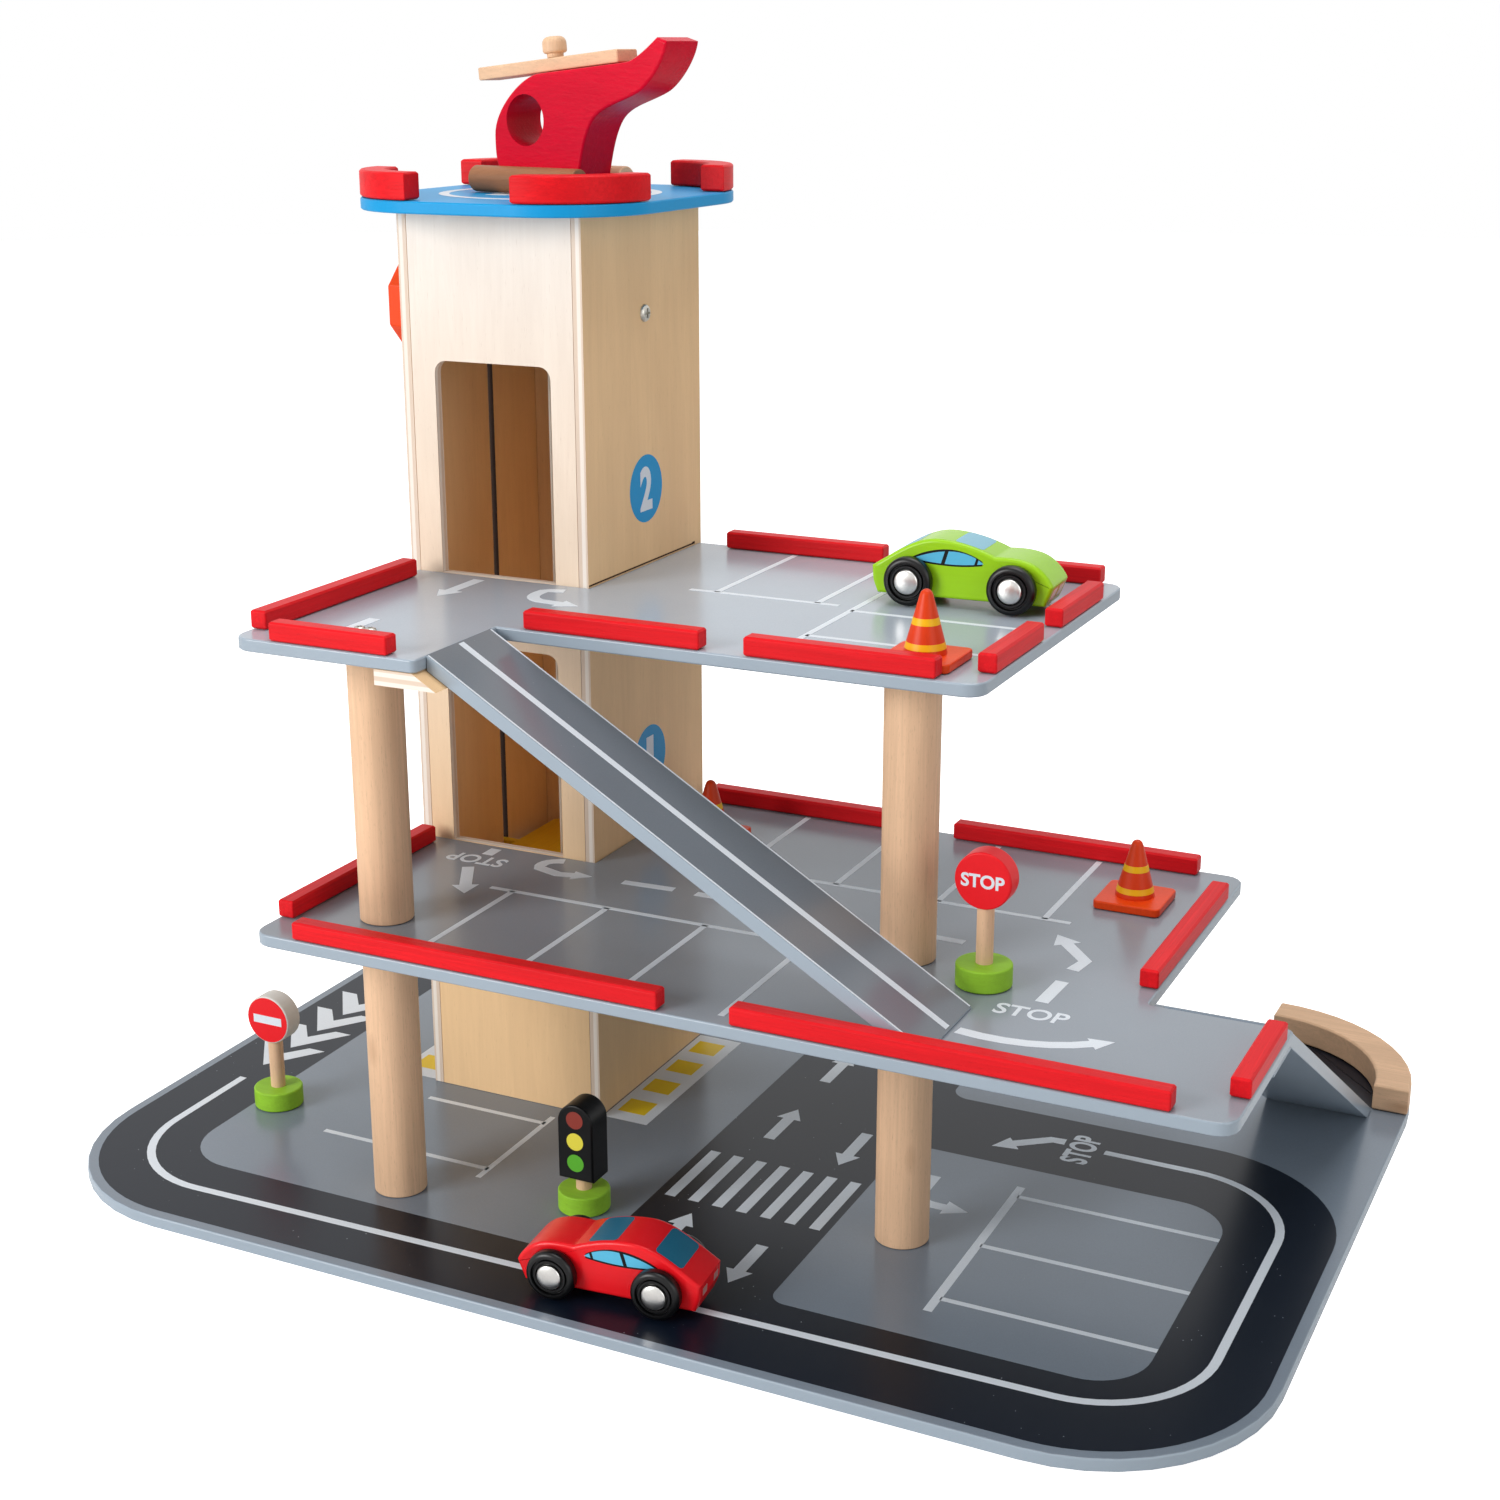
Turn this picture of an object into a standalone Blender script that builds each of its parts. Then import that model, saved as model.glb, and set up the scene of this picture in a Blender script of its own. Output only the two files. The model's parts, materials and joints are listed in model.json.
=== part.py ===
"""A wooden toy parking garage: a lift tower, two parking decks, two ramps and the toys that stand on it.

The origin is under the middle of the base board, with +X to the right, +Y to the back and +Z up, in metres.
"""

import math

import bmesh
import bpy
from mathutils import Matrix, Vector
from mathutils.geometry import interpolate_bezier

# Clearances
GLUE_LINE = 0.0003
RUNNING_GAP = 0.0004
SPIN_GAP = 0.0006

# Boards
BOARD = 0.006
BOARD_EDGE = 0.0006
BASE_LENGTH = 0.598
BASE_DEPTH = 0.445
BASE_CORNER = 0.085
STOREY = 0.139
DECK_CORNER = 0.009

# Tower
TOWER_LENGTH = 0.100
TOWER_DEPTH = 0.1187
TOWER_WALL = 0.005
TOWER_FROM_LEFT = 0.125
TOWER_FROM_FRONT = 0.181
TOWER_ABOVE_UPPER_DECK = 0.173
DOOR_WIDTH = 0.064
DOOR_HEIGHT = 0.1035
DOOR_CORNER = 0.006

# Decks, from the tower and from the front of the base
DECK_INSIDE_TOWER_LEFT = 0.004
DECK_INSIDE_TOWER_BACK = 0.0022
DECK_FROM_FRONT = 0.0322
MIDDLE_DECK_FROM_RIGHT = 0.077
TAB_PAST_RAMP = 0.0026
UPPER_DECK_FROM_RIGHT = 0.144
UPPER_STEP_DEPTH = 0.0651

# Ramps
RAMP_WIDTH = 0.052
RAMP_SLOPE = math.radians(31)
RAMP_TIP = 0.0007
LEDGE_THICKNESS = 0.007
LEDGE_UNDER_DECK = 0.021
GUIDE_WIDTH = 0.018
GUIDE_HEIGHT = 0.014

# Posts
POST_RADIUS = 0.0125
POST_CHAMFER = 0.0006
LEFT_POST_FROM_DECK_LEFT = 0.0455
LEFT_POST_FROM_DECK_FRONT = 0.0428
RIGHT_POST_FROM_UPPER_RIGHT = 0.0435
RIGHT_POST_FROM_UPPER_FRONT = 0.0362

# Kerbs
KERB = 0.0085
KERB_EDGE = 0.0009
SHORT_KERB = 0.061
SIDE_KERB = 0.120
MIDDLE_BACK_LEFT_KERB = 0.109
UPPER_LEFT_KERB_INSET = 0.015
UPPER_CORNER_KERB_INSET = 0.021
MIDDLE_LEFT_KERB_INSET = 0.021
MIDDLE_RIGHT_KERB_INSET = 0.033
TAB_KERB_INSET = 0.0235

# Rows of two kerbs: the inset at the first end, the inset at the other end, and the gap between the bars
UPPER_FRONT_ROW = (0.014, 0.020, 0.021)
UPPER_RIGHT_ROW = (0.018, 0.035, 0.0252)
UPPER_BACK_ROW = (0.020, 0.010, 0.025)
MIDDLE_FRONT_ROW = (0.023, 0.025, 0.0336)
MIDDLE_BACK_ROW = (0.010, 0.022, 0.029)

# Helicopter pad
PAD_OVERHANG = 0.025
PAD_CORNER = 0.047
PAD_KERB_WIDTH = 0.0125
PAD_KERB_HEIGHT = 0.0125

# Lift
LIFT_BELOW_MIDDLE_DECK = 0.024
LIFT_SIDE_GAP = 0.007
LIFT_END_GAP = 0.0025
LIFT_SLOT_WIDTH = 0.0048
LIFT_SLOT_FROM_FRONT = 0.070
LIFT_SLOT_FROM_TOP = 0.065
SPOOL_RADIUS = 0.006
SPOOL_COLLAR = 0.0025
SPOOL_BELOW_TOP = 0.0494
SPOOL_FROM_FRONT = 0.060
WINDING_LENGTH = 0.026
CORD_RADIUS = 0.00075
KNOB_FLATS = 0.048
KNOB_LENGTH = 0.032
KNOB_SIDES = 8
KNOB_EDGE = 0.0015
KNOB_BORE_DEPTH = 0.020

# Helicopter, whose side is drawn on a grid; points with a grid are in its squares
HELICOPTER_GRID = 0.001
HELICOPTER_THICKNESS = 0.024
HELICOPTER_HEADING = math.radians(-12)
HELICOPTER_EDGE = 0.0014
HELICOPTER_BOTTOM = 8.5
ROTOR_SEAT = (6.0, 55.4)
CABIN_HOLE_MIDDLE = (-3.0, 33.8)
SKID_MIDDLE = 3.0
CABIN_HOLE_RADIUS = 0.012
SKID_RADIUS = 0.00625
SKID_LENGTH = 0.076
SKID_SPACING = 0.034
ROTOR_LENGTH = 0.099
ROTOR_WIDTH = 0.015
ROTOR_THICKNESS = 0.006
ROTOR_TILT = math.radians(5.6)
PEG_STEM_RADIUS = 0.0032
PEG_HEAD_RADIUS = 0.0056
PEG_HEAD_HEIGHT = 0.0056
PEG_DEPTH = 0.012
PEG_NECK = 0.0045

# Cars, whose side is drawn on a grid too
CAR_GRID = 0.001
CAR_WIDTH = 0.028
CAR_EDGE = 0.0018
WHEELBASE = 0.0493
WHEEL_RADIUS = 0.0115
TYRE_WIDTH = 0.0075
AXLE_RADIUS = 0.002
WHEEL_SIDE_GAP = 0.0006
RED_CAR_FROM_LEFT = 0.3151
RED_CAR_FROM_FRONT = 0.0362
RED_CAR_HEADING = math.radians(185.6)
GREEN_CAR_FROM_RIGHT = 0.0541
GREEN_CAR_FROM_BACK = 0.0680
GREEN_CAR_HEADING = math.radians(2.35)

# Road signs and cones
SIGN_BASE_RADIUS = 0.0124
SIGN_BASE_HEIGHT = 0.010
SIGN_POST_RADIUS = 0.00375
SIGN_DISC_RADIUS = 0.0128
SIGN_DISC_THICKNESS = 0.0105
SIGN_DISC_HEIGHT = 0.0485
SIGN_SOCKET = 0.006
LIGHT_WIDTH = 0.0185
LIGHT_DEPTH = 0.015
LIGHT_BOTTOM = 0.011
LIGHT_HEIGHT = 0.043
CONE_PLATE = 0.032
CONE_PLATE_THICKNESS = 0.004
CONE_HEIGHT = 0.0325
CONE_FOOT_RADIUS = 0.0092
CONE_TOP_RADIUS = 0.0026
STOP_SIGN_PAST_POST = 0.0408
STOP_SIGN_BEHIND_RAMP = 0.0262
NO_ENTRY_FROM_LEFT = 0.0662
NO_ENTRY_FROM_FRONT = 0.1237
LIGHT_PAST_TOWER = 0.0391
LIGHT_FROM_FRONT = 0.0957
UPPER_CONE_FROM_RIGHT = 0.034
UPPER_CONE_FROM_FRONT = 0.0247
RIGHT_CONE_FROM_RIGHT = 0.039
RIGHT_CONE_FROM_BACK = 0.056
BACK_CONE_PAST_TOWER = 0.0365
BACK_CONE_FROM_BACK = 0.0607

# Places worked out from the sizes above
BASE_RIGHT = BASE_LENGTH / 2
BASE_BACK = BASE_DEPTH / 2
GROUND = BOARD
MIDDLE_TOP = GROUND + STOREY
UPPER_TOP = MIDDLE_TOP + STOREY
TOWER_LEFT = -BASE_RIGHT + TOWER_FROM_LEFT
TOWER_RIGHT = TOWER_LEFT + TOWER_LENGTH
TOWER_FRONT = -BASE_BACK + TOWER_FROM_FRONT
TOWER_BACK = TOWER_FRONT + TOWER_DEPTH
TOWER_TOP = UPPER_TOP + TOWER_ABOVE_UPPER_DECK
DECK_LEFT = TOWER_LEFT + DECK_INSIDE_TOWER_LEFT
DECK_BACK = TOWER_BACK - DECK_INSIDE_TOWER_BACK
DECK_FRONT = -BASE_BACK + DECK_FROM_FRONT
MIDDLE_RIGHT = BASE_RIGHT - MIDDLE_DECK_FROM_RIGHT
UPPER_RIGHT = BASE_RIGHT - UPPER_DECK_FROM_RIGHT
UPPER_FRONT = DECK_FRONT + UPPER_STEP_DEPTH
RAMP_RUN = (STOREY - RAMP_TIP) / math.tan(RAMP_SLOPE)
EXIT_RAMP_RIGHT = BASE_RIGHT - GUIDE_WIDTH
TAB_RIGHT = EXIT_RAMP_RIGHT + TAB_PAST_RAMP
TAB_BACK = BASE_BACK - BASE_CORNER - RAMP_RUN - 3 * GLUE_LINE
UPPER_RAMP_FRONT = DECK_FRONT + KERB + GLUE_LINE
LEFT_POST_PLACE = (DECK_LEFT + LEFT_POST_FROM_DECK_LEFT, DECK_FRONT + LEFT_POST_FROM_DECK_FRONT)
RIGHT_POST_PLACE = (UPPER_RIGHT - RIGHT_POST_FROM_UPPER_RIGHT, UPPER_FRONT + RIGHT_POST_FROM_UPPER_FRONT)
LIFT_SLOT_Y = TOWER_FRONT + LIFT_SLOT_FROM_FRONT
SPOOL_Y = TOWER_FRONT + SPOOL_FROM_FRONT
SPOOL_Z = TOWER_TOP - SPOOL_BELOW_TOP
TOWER_MIDDLE_X = TOWER_LEFT + TOWER_LENGTH / 2
PAD_MIDDLE_Y = TOWER_FRONT + TOWER_DEPTH / 2
PAD_TOP = TOWER_TOP + BOARD

# Finishes: colour, roughness, metallic
GREY_PAINT = ("8d949a", 0.45, 0.0)
RED_PAINT = ("d3202a", 0.42, 0.0)
BLUE_PAINT = ("2b9be0", 0.4, 0.0)
GREEN_PAINT = ("86c226", 0.4, 0.0)
ORANGE_PAINT = ("f0641e", 0.4, 0.0)
YELLOW_PAINT = ("e8b91c", 0.45, 0.0)
BLACK_PAINT = ("1c1c1e", 0.45, 0.0)
BIRCH_PLY = ("e6d3b3", 0.6, 0.0)
BEECH = ("cf9f70", 0.6, 0.0)
WHITE_CORD = ("e9e6df", 0.8, 0.0)
BLACK_RUBBER = ("161616", 0.6, 0.0)


def clear_scene():
    for thing in list(bpy.data.objects):
        bpy.data.objects.remove(thing)


def paint(thing, finish):
    """Gives a piece its own material from a finish of hex colour, roughness and metallic value."""
    colour, roughness, metallic = finish
    channels = [int(colour[i : i + 2], 16) / 255 for i in (0, 2, 4)]
    linear = [c / 12.92 if c <= 0.04045 else ((c + 0.055) / 1.055) ** 2.4 for c in channels]
    material = bpy.data.materials.new(thing.name)
    material.use_nodes = True
    shader = material.node_tree.nodes["Principled BSDF"]
    shader.inputs["Base Color"].default_value = (*linear, 1)
    shader.inputs["Roughness"].default_value = roughness
    shader.inputs["Metallic"].default_value = metallic
    thing.data.materials.append(material)


def piece(name, shape, finish=None, place=(0, 0, 0), parent=None):
    """Turns a bmesh into a named object. A piece without a finish is a cutter or joins another piece."""
    bmesh.ops.recalc_face_normals(shape, faces=shape.faces)
    mesh = bpy.data.meshes.new(name)
    shape.to_mesh(mesh)
    shape.free()
    mesh.shade_smooth()
    mesh.set_sharp_from_angle(angle=math.radians(32))
    thing = bpy.data.objects.new(name, mesh)
    bpy.context.scene.collection.objects.link(thing)
    thing.location = place
    thing.parent = parent
    if finish:
        paint(thing, finish)
    else:
        thing.hide_render = True
        thing.display_type = "WIRE"
    return thing


def combine(thing, tool, operation):
    modifier = thing.modifiers.new(tool.name, "BOOLEAN")
    modifier.operation = operation
    modifier.object = tool


def cut(thing, tool):
    combine(thing, tool, "DIFFERENCE")


def join(thing, tool):
    combine(thing, tool, "UNION")


def group(name, place, heading=0.0, parent=None):
    """An empty that carries the pieces of one toy."""
    empty = bpy.data.objects.new(name, None)
    bpy.context.scene.collection.objects.link(empty)
    empty.location = place
    empty.rotation_euler = (0, 0, heading)
    empty.parent = parent
    return empty


def arc(centre, radius, start, end, steps):
    """Points from one angle to another, both in degrees and both included."""
    angles = [math.radians(start + (end - start) * i / steps) for i in range(steps + 1)]
    return [Vector((centre[0] + radius * math.cos(a), centre[1] + radius * math.sin(a))) for a in angles]


def rounded_outline(corners):
    """Points round a polygon whose corners, given as (x, y, radius), are turned into arcs."""
    points = []
    for index, (x, y, radius) in enumerate(corners):
        corner = Vector((x, y))
        if radius == 0:
            points.append(corner)
            continue
        following = corners[(index + 1) % len(corners)]
        before = (Vector(corners[index - 1][:2]) - corner).normalized()
        after = (Vector(following[:2]) - corner).normalized()
        half = before.angle(after) / 2
        centre = corner + (before + after).normalized() * radius / math.sin(half)
        start = corner + before * radius / math.tan(half) - centre
        turn = math.pi - 2 * half
        if before.cross(after) > 0:
            turn = -turn
        steps = 10 if radius > 0.02 else 4
        for step in range(steps + 1):
            points.append(centre + Matrix.Rotation(turn * step / steps, 2) @ start)
    return points


def rectangle(left, front, right, back, radius=0.0):
    return rounded_outline([(left, front, radius), (right, front, radius), (right, back, radius), (left, back, radius)])


def smooth_outline(anchors, grid, steps):
    """Points along Bezier curves: each anchor is a point with its handles' directions, in degrees, and reaches."""
    points = []
    for (point, heading, reach), (following, next_heading, next_reach) in zip(anchors, anchors[1:] + anchors[:1]):
        leaving, arriving = math.radians(heading[1]), math.radians(next_heading[0])
        out = Vector((math.cos(leaving), math.sin(leaving))) * reach[1] * grid
        back = Vector((math.cos(arriving), math.sin(arriving))) * next_reach[0] * grid
        start, end = Vector(point) * grid, Vector(following) * grid
        if reach[1] == 0 and next_reach[0] == 0:
            points.append(start)
            continue
        points.extend(interpolate_bezier(start, start + out, end - back, end, steps + 1)[:-1])
    return points


AXIS_FRAMES = {
    "X": Matrix(((0, 0, 1, 0), (1, 0, 0, 0), (0, 1, 0, 0), (0, 0, 0, 1))),
    "Y": Matrix(((1, 0, 0, 0), (0, 0, 1, 0), (0, 1, 0, 0), (0, 0, 0, 1))),
    "Z": Matrix.Identity(4),
}


def board(outline, low, high, edge=0.0, steps=1, axis="Z"):
    """An outline in the plane across an axis, drawn out from low to high along it, its rims eased by edge."""
    shape = bmesh.new()
    face = shape.faces.new([shape.verts.new((point[0], point[1], low)) for point in outline])
    drawn = bmesh.ops.extrude_face_region(shape, geom=[face])["geom"]
    top = [item for item in drawn if isinstance(item, bmesh.types.BMVert)]
    bmesh.ops.translate(shape, verts=top, vec=(0, 0, high - low))
    if edge:
        rims = [line for line in shape.edges if line.verts[0].co.z == line.verts[1].co.z]
        bmesh.ops.bevel(
            shape, geom=rims, offset=edge, segments=steps, profile=0.5, affect="EDGES", clamp_overlap=True
        )
    bmesh.ops.transform(shape, matrix=AXIS_FRAMES[axis], verts=shape.verts)
    return shape


def turned(profile, steps=24, axis="Z"):
    """A lathe piece: (radius, height) points spun round an axis, with the first and the last on it."""
    shape = bmesh.new()
    points = [shape.verts.new((radius, 0, height)) for radius, height in profile]
    lines = [shape.edges.new(pair) for pair in zip(points, points[1:])]
    bmesh.ops.spin(shape, geom=points + lines, cent=(0, 0, 0), axis=(0, 0, 1), angle=math.tau, steps=steps)
    bmesh.ops.remove_doubles(shape, verts=shape.verts, dist=0.000002)
    bmesh.ops.transform(shape, matrix=AXIS_FRAMES[axis], verts=shape.verts)
    return shape


def dowel(radius, low, high, chamfer=0.0, steps=24, axis="Z"):
    if not chamfer:
        return turned([(0, low), (radius, low), (radius, high), (0, high)], steps, axis)
    inner = radius - chamfer
    profile = [(0, low), (inner, low), (radius, low + chamfer), (radius, high - chamfer), (inner, high), (0, high)]
    return turned(profile, steps, axis)


def build_base():
    outline = rectangle(-BASE_RIGHT, -BASE_BACK, BASE_RIGHT, BASE_BACK, BASE_CORNER)
    piece("base_board", board(outline, 0, BOARD, BOARD_EDGE), GREY_PAINT)
    centre = (BASE_RIGHT - BASE_CORNER, BASE_BACK - BASE_CORNER)
    outer = arc(centre, BASE_CORNER, 0, 90, 12)
    inner = arc(centre, BASE_CORNER - GUIDE_WIDTH, 90, 0, 12)
    guide = board(outer + inner, 0, GUIDE_HEIGHT, KERB_EDGE)
    piece("exit_guide_curb", guide, BEECH, (0, 0, GROUND + GLUE_LINE))


def build_decks():
    notch_x = TOWER_RIGHT + GLUE_LINE
    notch_y = TOWER_FRONT - GLUE_LINE
    notch = [(notch_x, DECK_BACK, 0), (notch_x, notch_y, 0), (DECK_LEFT, notch_y, 0)]
    middle = rounded_outline(
        [
            (DECK_LEFT, DECK_FRONT, DECK_CORNER),
            (TAB_RIGHT, DECK_FRONT, DECK_CORNER),
            (TAB_RIGHT, TAB_BACK, 0.002),
            (MIDDLE_RIGHT, TAB_BACK, 0.002),
            (MIDDLE_RIGHT, DECK_BACK, DECK_CORNER),
            *notch,
        ]
    )
    upper = rounded_outline(
        [
            (DECK_LEFT, DECK_FRONT, DECK_CORNER),
            (TOWER_RIGHT, DECK_FRONT, 0.003),
            (TOWER_RIGHT, UPPER_FRONT, 0),
            (UPPER_RIGHT, UPPER_FRONT, DECK_CORNER),
            (UPPER_RIGHT, DECK_BACK, DECK_CORNER),
            *notch,
        ]
    )
    piece("middle_deck", board(middle, 0, BOARD, BOARD_EDGE), GREY_PAINT, (0, 0, MIDDLE_TOP - BOARD))
    piece("upper_deck", board(upper, 0, BOARD, BOARD_EDGE), GREY_PAINT, (0, 0, UPPER_TOP - BOARD))


def build_posts():
    length = STOREY - BOARD - 2 * GLUE_LINE
    for side, (x, y) in (("left", LEFT_POST_PLACE), ("right", RIGHT_POST_PLACE)):
        for storey, floor in (("lower", GROUND), ("upper", MIDDLE_TOP)):
            post = dowel(POST_RADIUS, 0, length, POST_CHAMFER, 32)
            piece(f"{side}_{storey}_post", post, BEECH, (x, y, floor + GLUE_LINE))


def doorway(name, sill):
    """A cutter for a doorway with a straight sill and rounded top corners, wider than the wall is thick."""
    half = DOOR_WIDTH / 2
    outline = rounded_outline(
        [(-half, 0, 0), (half, 0, 0), (half, DOOR_HEIGHT, DOOR_CORNER), (-half, DOOR_HEIGHT, DOOR_CORNER)]
    )
    cutter = board(outline, -TOWER_WALL, TOWER_WALL, axis="Y")
    return piece(name, cutter, place=(TOWER_MIDDLE_X, 0, sill))


def build_tower():
    floor = GROUND + GLUE_LINE
    side = rectangle(TOWER_FRONT, floor, TOWER_BACK, TOWER_TOP)
    inner_left = TOWER_LEFT + TOWER_WALL + GLUE_LINE
    inner_right = TOWER_RIGHT - TOWER_WALL - GLUE_LINE
    across = rectangle(inner_left, floor, inner_right, TOWER_TOP)

    left = piece("tower_left_wall", board(side, 0, TOWER_WALL, axis="X"), BIRCH_PLY, (TOWER_LEFT, 0, 0))
    right_x = TOWER_RIGHT - TOWER_WALL
    piece("tower_right_wall", board(side, 0, TOWER_WALL, axis="X"), BIRCH_PLY, (right_x, 0, 0))
    front = piece("tower_front_wall", board(across, 0, TOWER_WALL, axis="Y"), BIRCH_PLY, (0, TOWER_FRONT, 0))
    back_y = TOWER_BACK - TOWER_WALL
    back = piece("tower_back_wall", board(across, 0, TOWER_WALL, axis="Y"), BIRCH_PLY, (0, back_y, 0))

    for name, wall, sill, y in (
        ("ground_doorway", back, GROUND, back_y),
        ("middle_doorway", front, MIDDLE_TOP, TOWER_FRONT),
        ("upper_doorway", front, UPPER_TOP, TOWER_FRONT),
    ):
        cutter = doorway(name, sill)
        cutter.location.y = y + TOWER_WALL / 2
        cut(wall, cutter)

    half = LIFT_SLOT_WIDTH / 2
    slot_top = TOWER_TOP - LIFT_SLOT_FROM_TOP
    slot = rounded_outline(
        [
            (LIFT_SLOT_Y - half, 0, 0),
            (LIFT_SLOT_Y + half, 0, 0),
            (LIFT_SLOT_Y + half, slot_top, half * 0.98),
            (LIFT_SLOT_Y - half, slot_top, half * 0.98),
        ]
    )
    cut(left, piece("lift_slot", board(slot, -TOWER_WALL, TOWER_WALL * 2, axis="X"), place=(TOWER_LEFT, 0, 0)))
    bearing = dowel(SPOOL_RADIUS + RUNNING_GAP, -TOWER_WALL, TOWER_WALL * 2, steps=16, axis="X")
    cut(left, piece("spool_bearing", bearing, place=(TOWER_LEFT, SPOOL_Y, SPOOL_Z)))


def ramp_profile():
    """The side of a ramp from its upper edge at (0, STOREY) down to its tip on the floor at height 0."""
    fall = math.tan(RAMP_SLOPE)
    under = BOARD / math.cos(RAMP_SLOPE)
    heel = RAMP_RUN - (under - RAMP_TIP) / fall
    return [(0, STOREY - under), (heel, 0), (RAMP_RUN, 0), (RAMP_RUN, RAMP_TIP), (0, STOREY)]


def ledge_profile():
    """The side of the strip under a deck's edge, cut to the slope of the ramp that lies on it."""
    fall = math.tan(RAMP_SLOPE)
    under = (BOARD + GLUE_LINE) / math.cos(RAMP_SLOPE)
    top = STOREY - BOARD - GLUE_LINE
    bottom = top - LEDGE_THICKNESS
    return [
        (-LEDGE_UNDER_DECK, bottom),
        ((STOREY - under - bottom) / fall, bottom),
        ((STOREY - under - top) / fall, top),
        (-LEDGE_UNDER_DECK, top),
    ]


def build_ramps():
    upper_start = TOWER_RIGHT + GLUE_LINE
    exit_start = TAB_BACK + GLUE_LINE
    floor = MIDDLE_TOP + GLUE_LINE
    ground = GROUND + GLUE_LINE
    ramp = board(ramp_profile(), 0, RAMP_WIDTH, 0.0003, axis="Y")
    piece("upper_ramp", ramp, GREY_PAINT, (upper_start, UPPER_RAMP_FRONT, floor))
    ramp = board(ramp_profile(), 0, RAMP_WIDTH, 0.0003, axis="X")
    piece("exit_ramp", ramp, GREY_PAINT, (EXIT_RAMP_RIGHT - RAMP_WIDTH, exit_start, ground))
    ledge_width = RAMP_WIDTH + KERB
    ledge = board(ledge_profile(), 0, ledge_width, axis="Y")
    piece("ramp_ledge", ledge, BIRCH_PLY, (upper_start, DECK_FRONT, floor))
    ledge = board(ledge_profile(), 0, RAMP_WIDTH, axis="X")
    piece("exit_ramp_ledge", ledge, BIRCH_PLY, (EXIT_RAMP_RIGHT - RAMP_WIDTH, exit_start, ground))


def kerb(name, low_x, low_y, deck_top, length, along):
    """A square bar glued on a deck, its long side along X or Y."""
    size = (length, KERB) if along == "X" else (KERB, length)
    bar = board(rectangle(low_x, low_y, low_x + size[0], low_y + size[1], KERB_EDGE), 0, KERB, KERB_EDGE)
    piece(name, bar, RED_PAINT, (0, 0, deck_top + GLUE_LINE))


def kerb_row(names, start, end, across, deck_top, row, along, first=None):
    """Two bars in line on a stretch of a deck's edge, alike unless the first one's length is given."""
    inset, end_inset, gap = row
    room = end - start - inset - end_inset - gap
    lengths = (first, room - first) if first else (room / 2, room / 2)
    starts = (start + inset, end - end_inset - lengths[1])
    for name, low, length in zip(names, starts, lengths):
        low_x, low_y = (low, across) if along == "X" else (across, low)
        kerb(name, low_x, low_y, deck_top, length, along)


def build_upper_kerbs():
    top = UPPER_TOP
    right = UPPER_RIGHT - KERB
    back = DECK_BACK - KERB
    kerb("upper_curb_left", DECK_LEFT, DECK_FRONT + UPPER_LEFT_KERB_INSET, top, SIDE_KERB, "Y")
    kerb("upper_curb_front_left", DECK_LEFT + UPPER_CORNER_KERB_INSET, DECK_FRONT, top, SHORT_KERB, "X")
    names = ("upper_curb_front_middle", "upper_curb_front_right")
    kerb_row(names, TOWER_RIGHT, UPPER_RIGHT, UPPER_FRONT, top, UPPER_FRONT_ROW, "X")
    names = ("upper_curb_right_front", "upper_curb_right_back")
    kerb_row(names, UPPER_FRONT, DECK_BACK, right, top, UPPER_RIGHT_ROW, "Y")
    names = ("upper_curb_back_left", "upper_curb_back_right")
    kerb_row(names, TOWER_RIGHT, UPPER_RIGHT, back, top, UPPER_BACK_ROW, "X")


def build_middle_kerbs():
    top = MIDDLE_TOP
    back = DECK_BACK - KERB
    right_start = DECK_BACK - MIDDLE_RIGHT_KERB_INSET - SIDE_KERB
    kerb("middle_curb_left", DECK_LEFT, DECK_FRONT + MIDDLE_LEFT_KERB_INSET, top, SIDE_KERB, "Y")
    kerb("middle_curb_right", MIDDLE_RIGHT - KERB, right_start, top, SIDE_KERB, "Y")
    kerb("middle_curb_tab_end", TAB_RIGHT - KERB, DECK_FRONT + TAB_KERB_INSET, top, SHORT_KERB, "Y")
    names = ("middle_curb_front_left", "middle_curb_front_right")
    kerb_row(names, DECK_LEFT, TAB_RIGHT, DECK_FRONT, top, MIDDLE_FRONT_ROW, "X")
    names = ("middle_curb_back_left", "middle_curb_back_right")
    kerb_row(names, TOWER_RIGHT, MIDDLE_RIGHT, back, top, MIDDLE_BACK_ROW, "X", MIDDLE_BACK_LEFT_KERB)


def build_helipad():
    left = TOWER_LEFT - PAD_OVERHANG
    right = TOWER_RIGHT + PAD_OVERHANG
    front = TOWER_FRONT - PAD_OVERHANG
    back = TOWER_BACK + PAD_OVERHANG
    outline = rectangle(left, front, right, back, PAD_CORNER)
    piece("helipad", board(outline, 0, BOARD - GLUE_LINE, BOARD_EDGE), BLUE_PAINT, (0, 0, TOWER_TOP + GLUE_LINE))
    for name, x, y, start in (
        ("back_right", right - PAD_CORNER, back - PAD_CORNER, 0),
        ("back_left", left + PAD_CORNER, back - PAD_CORNER, 90),
        ("front_left", left + PAD_CORNER, front + PAD_CORNER, 180),
        ("front_right", right - PAD_CORNER, front + PAD_CORNER, 270),
    ):
        outer = arc((0, 0), PAD_CORNER, start, start + 90, 10)
        inner = arc((0, 0), PAD_CORNER - PAD_KERB_WIDTH, start + 90, start, 10)
        bar = board(outer + inner, 0, PAD_KERB_HEIGHT, KERB_EDGE)
        piece(f"helipad_curb_{name}", bar, RED_PAINT, (x, y, PAD_TOP + GLUE_LINE))


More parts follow.
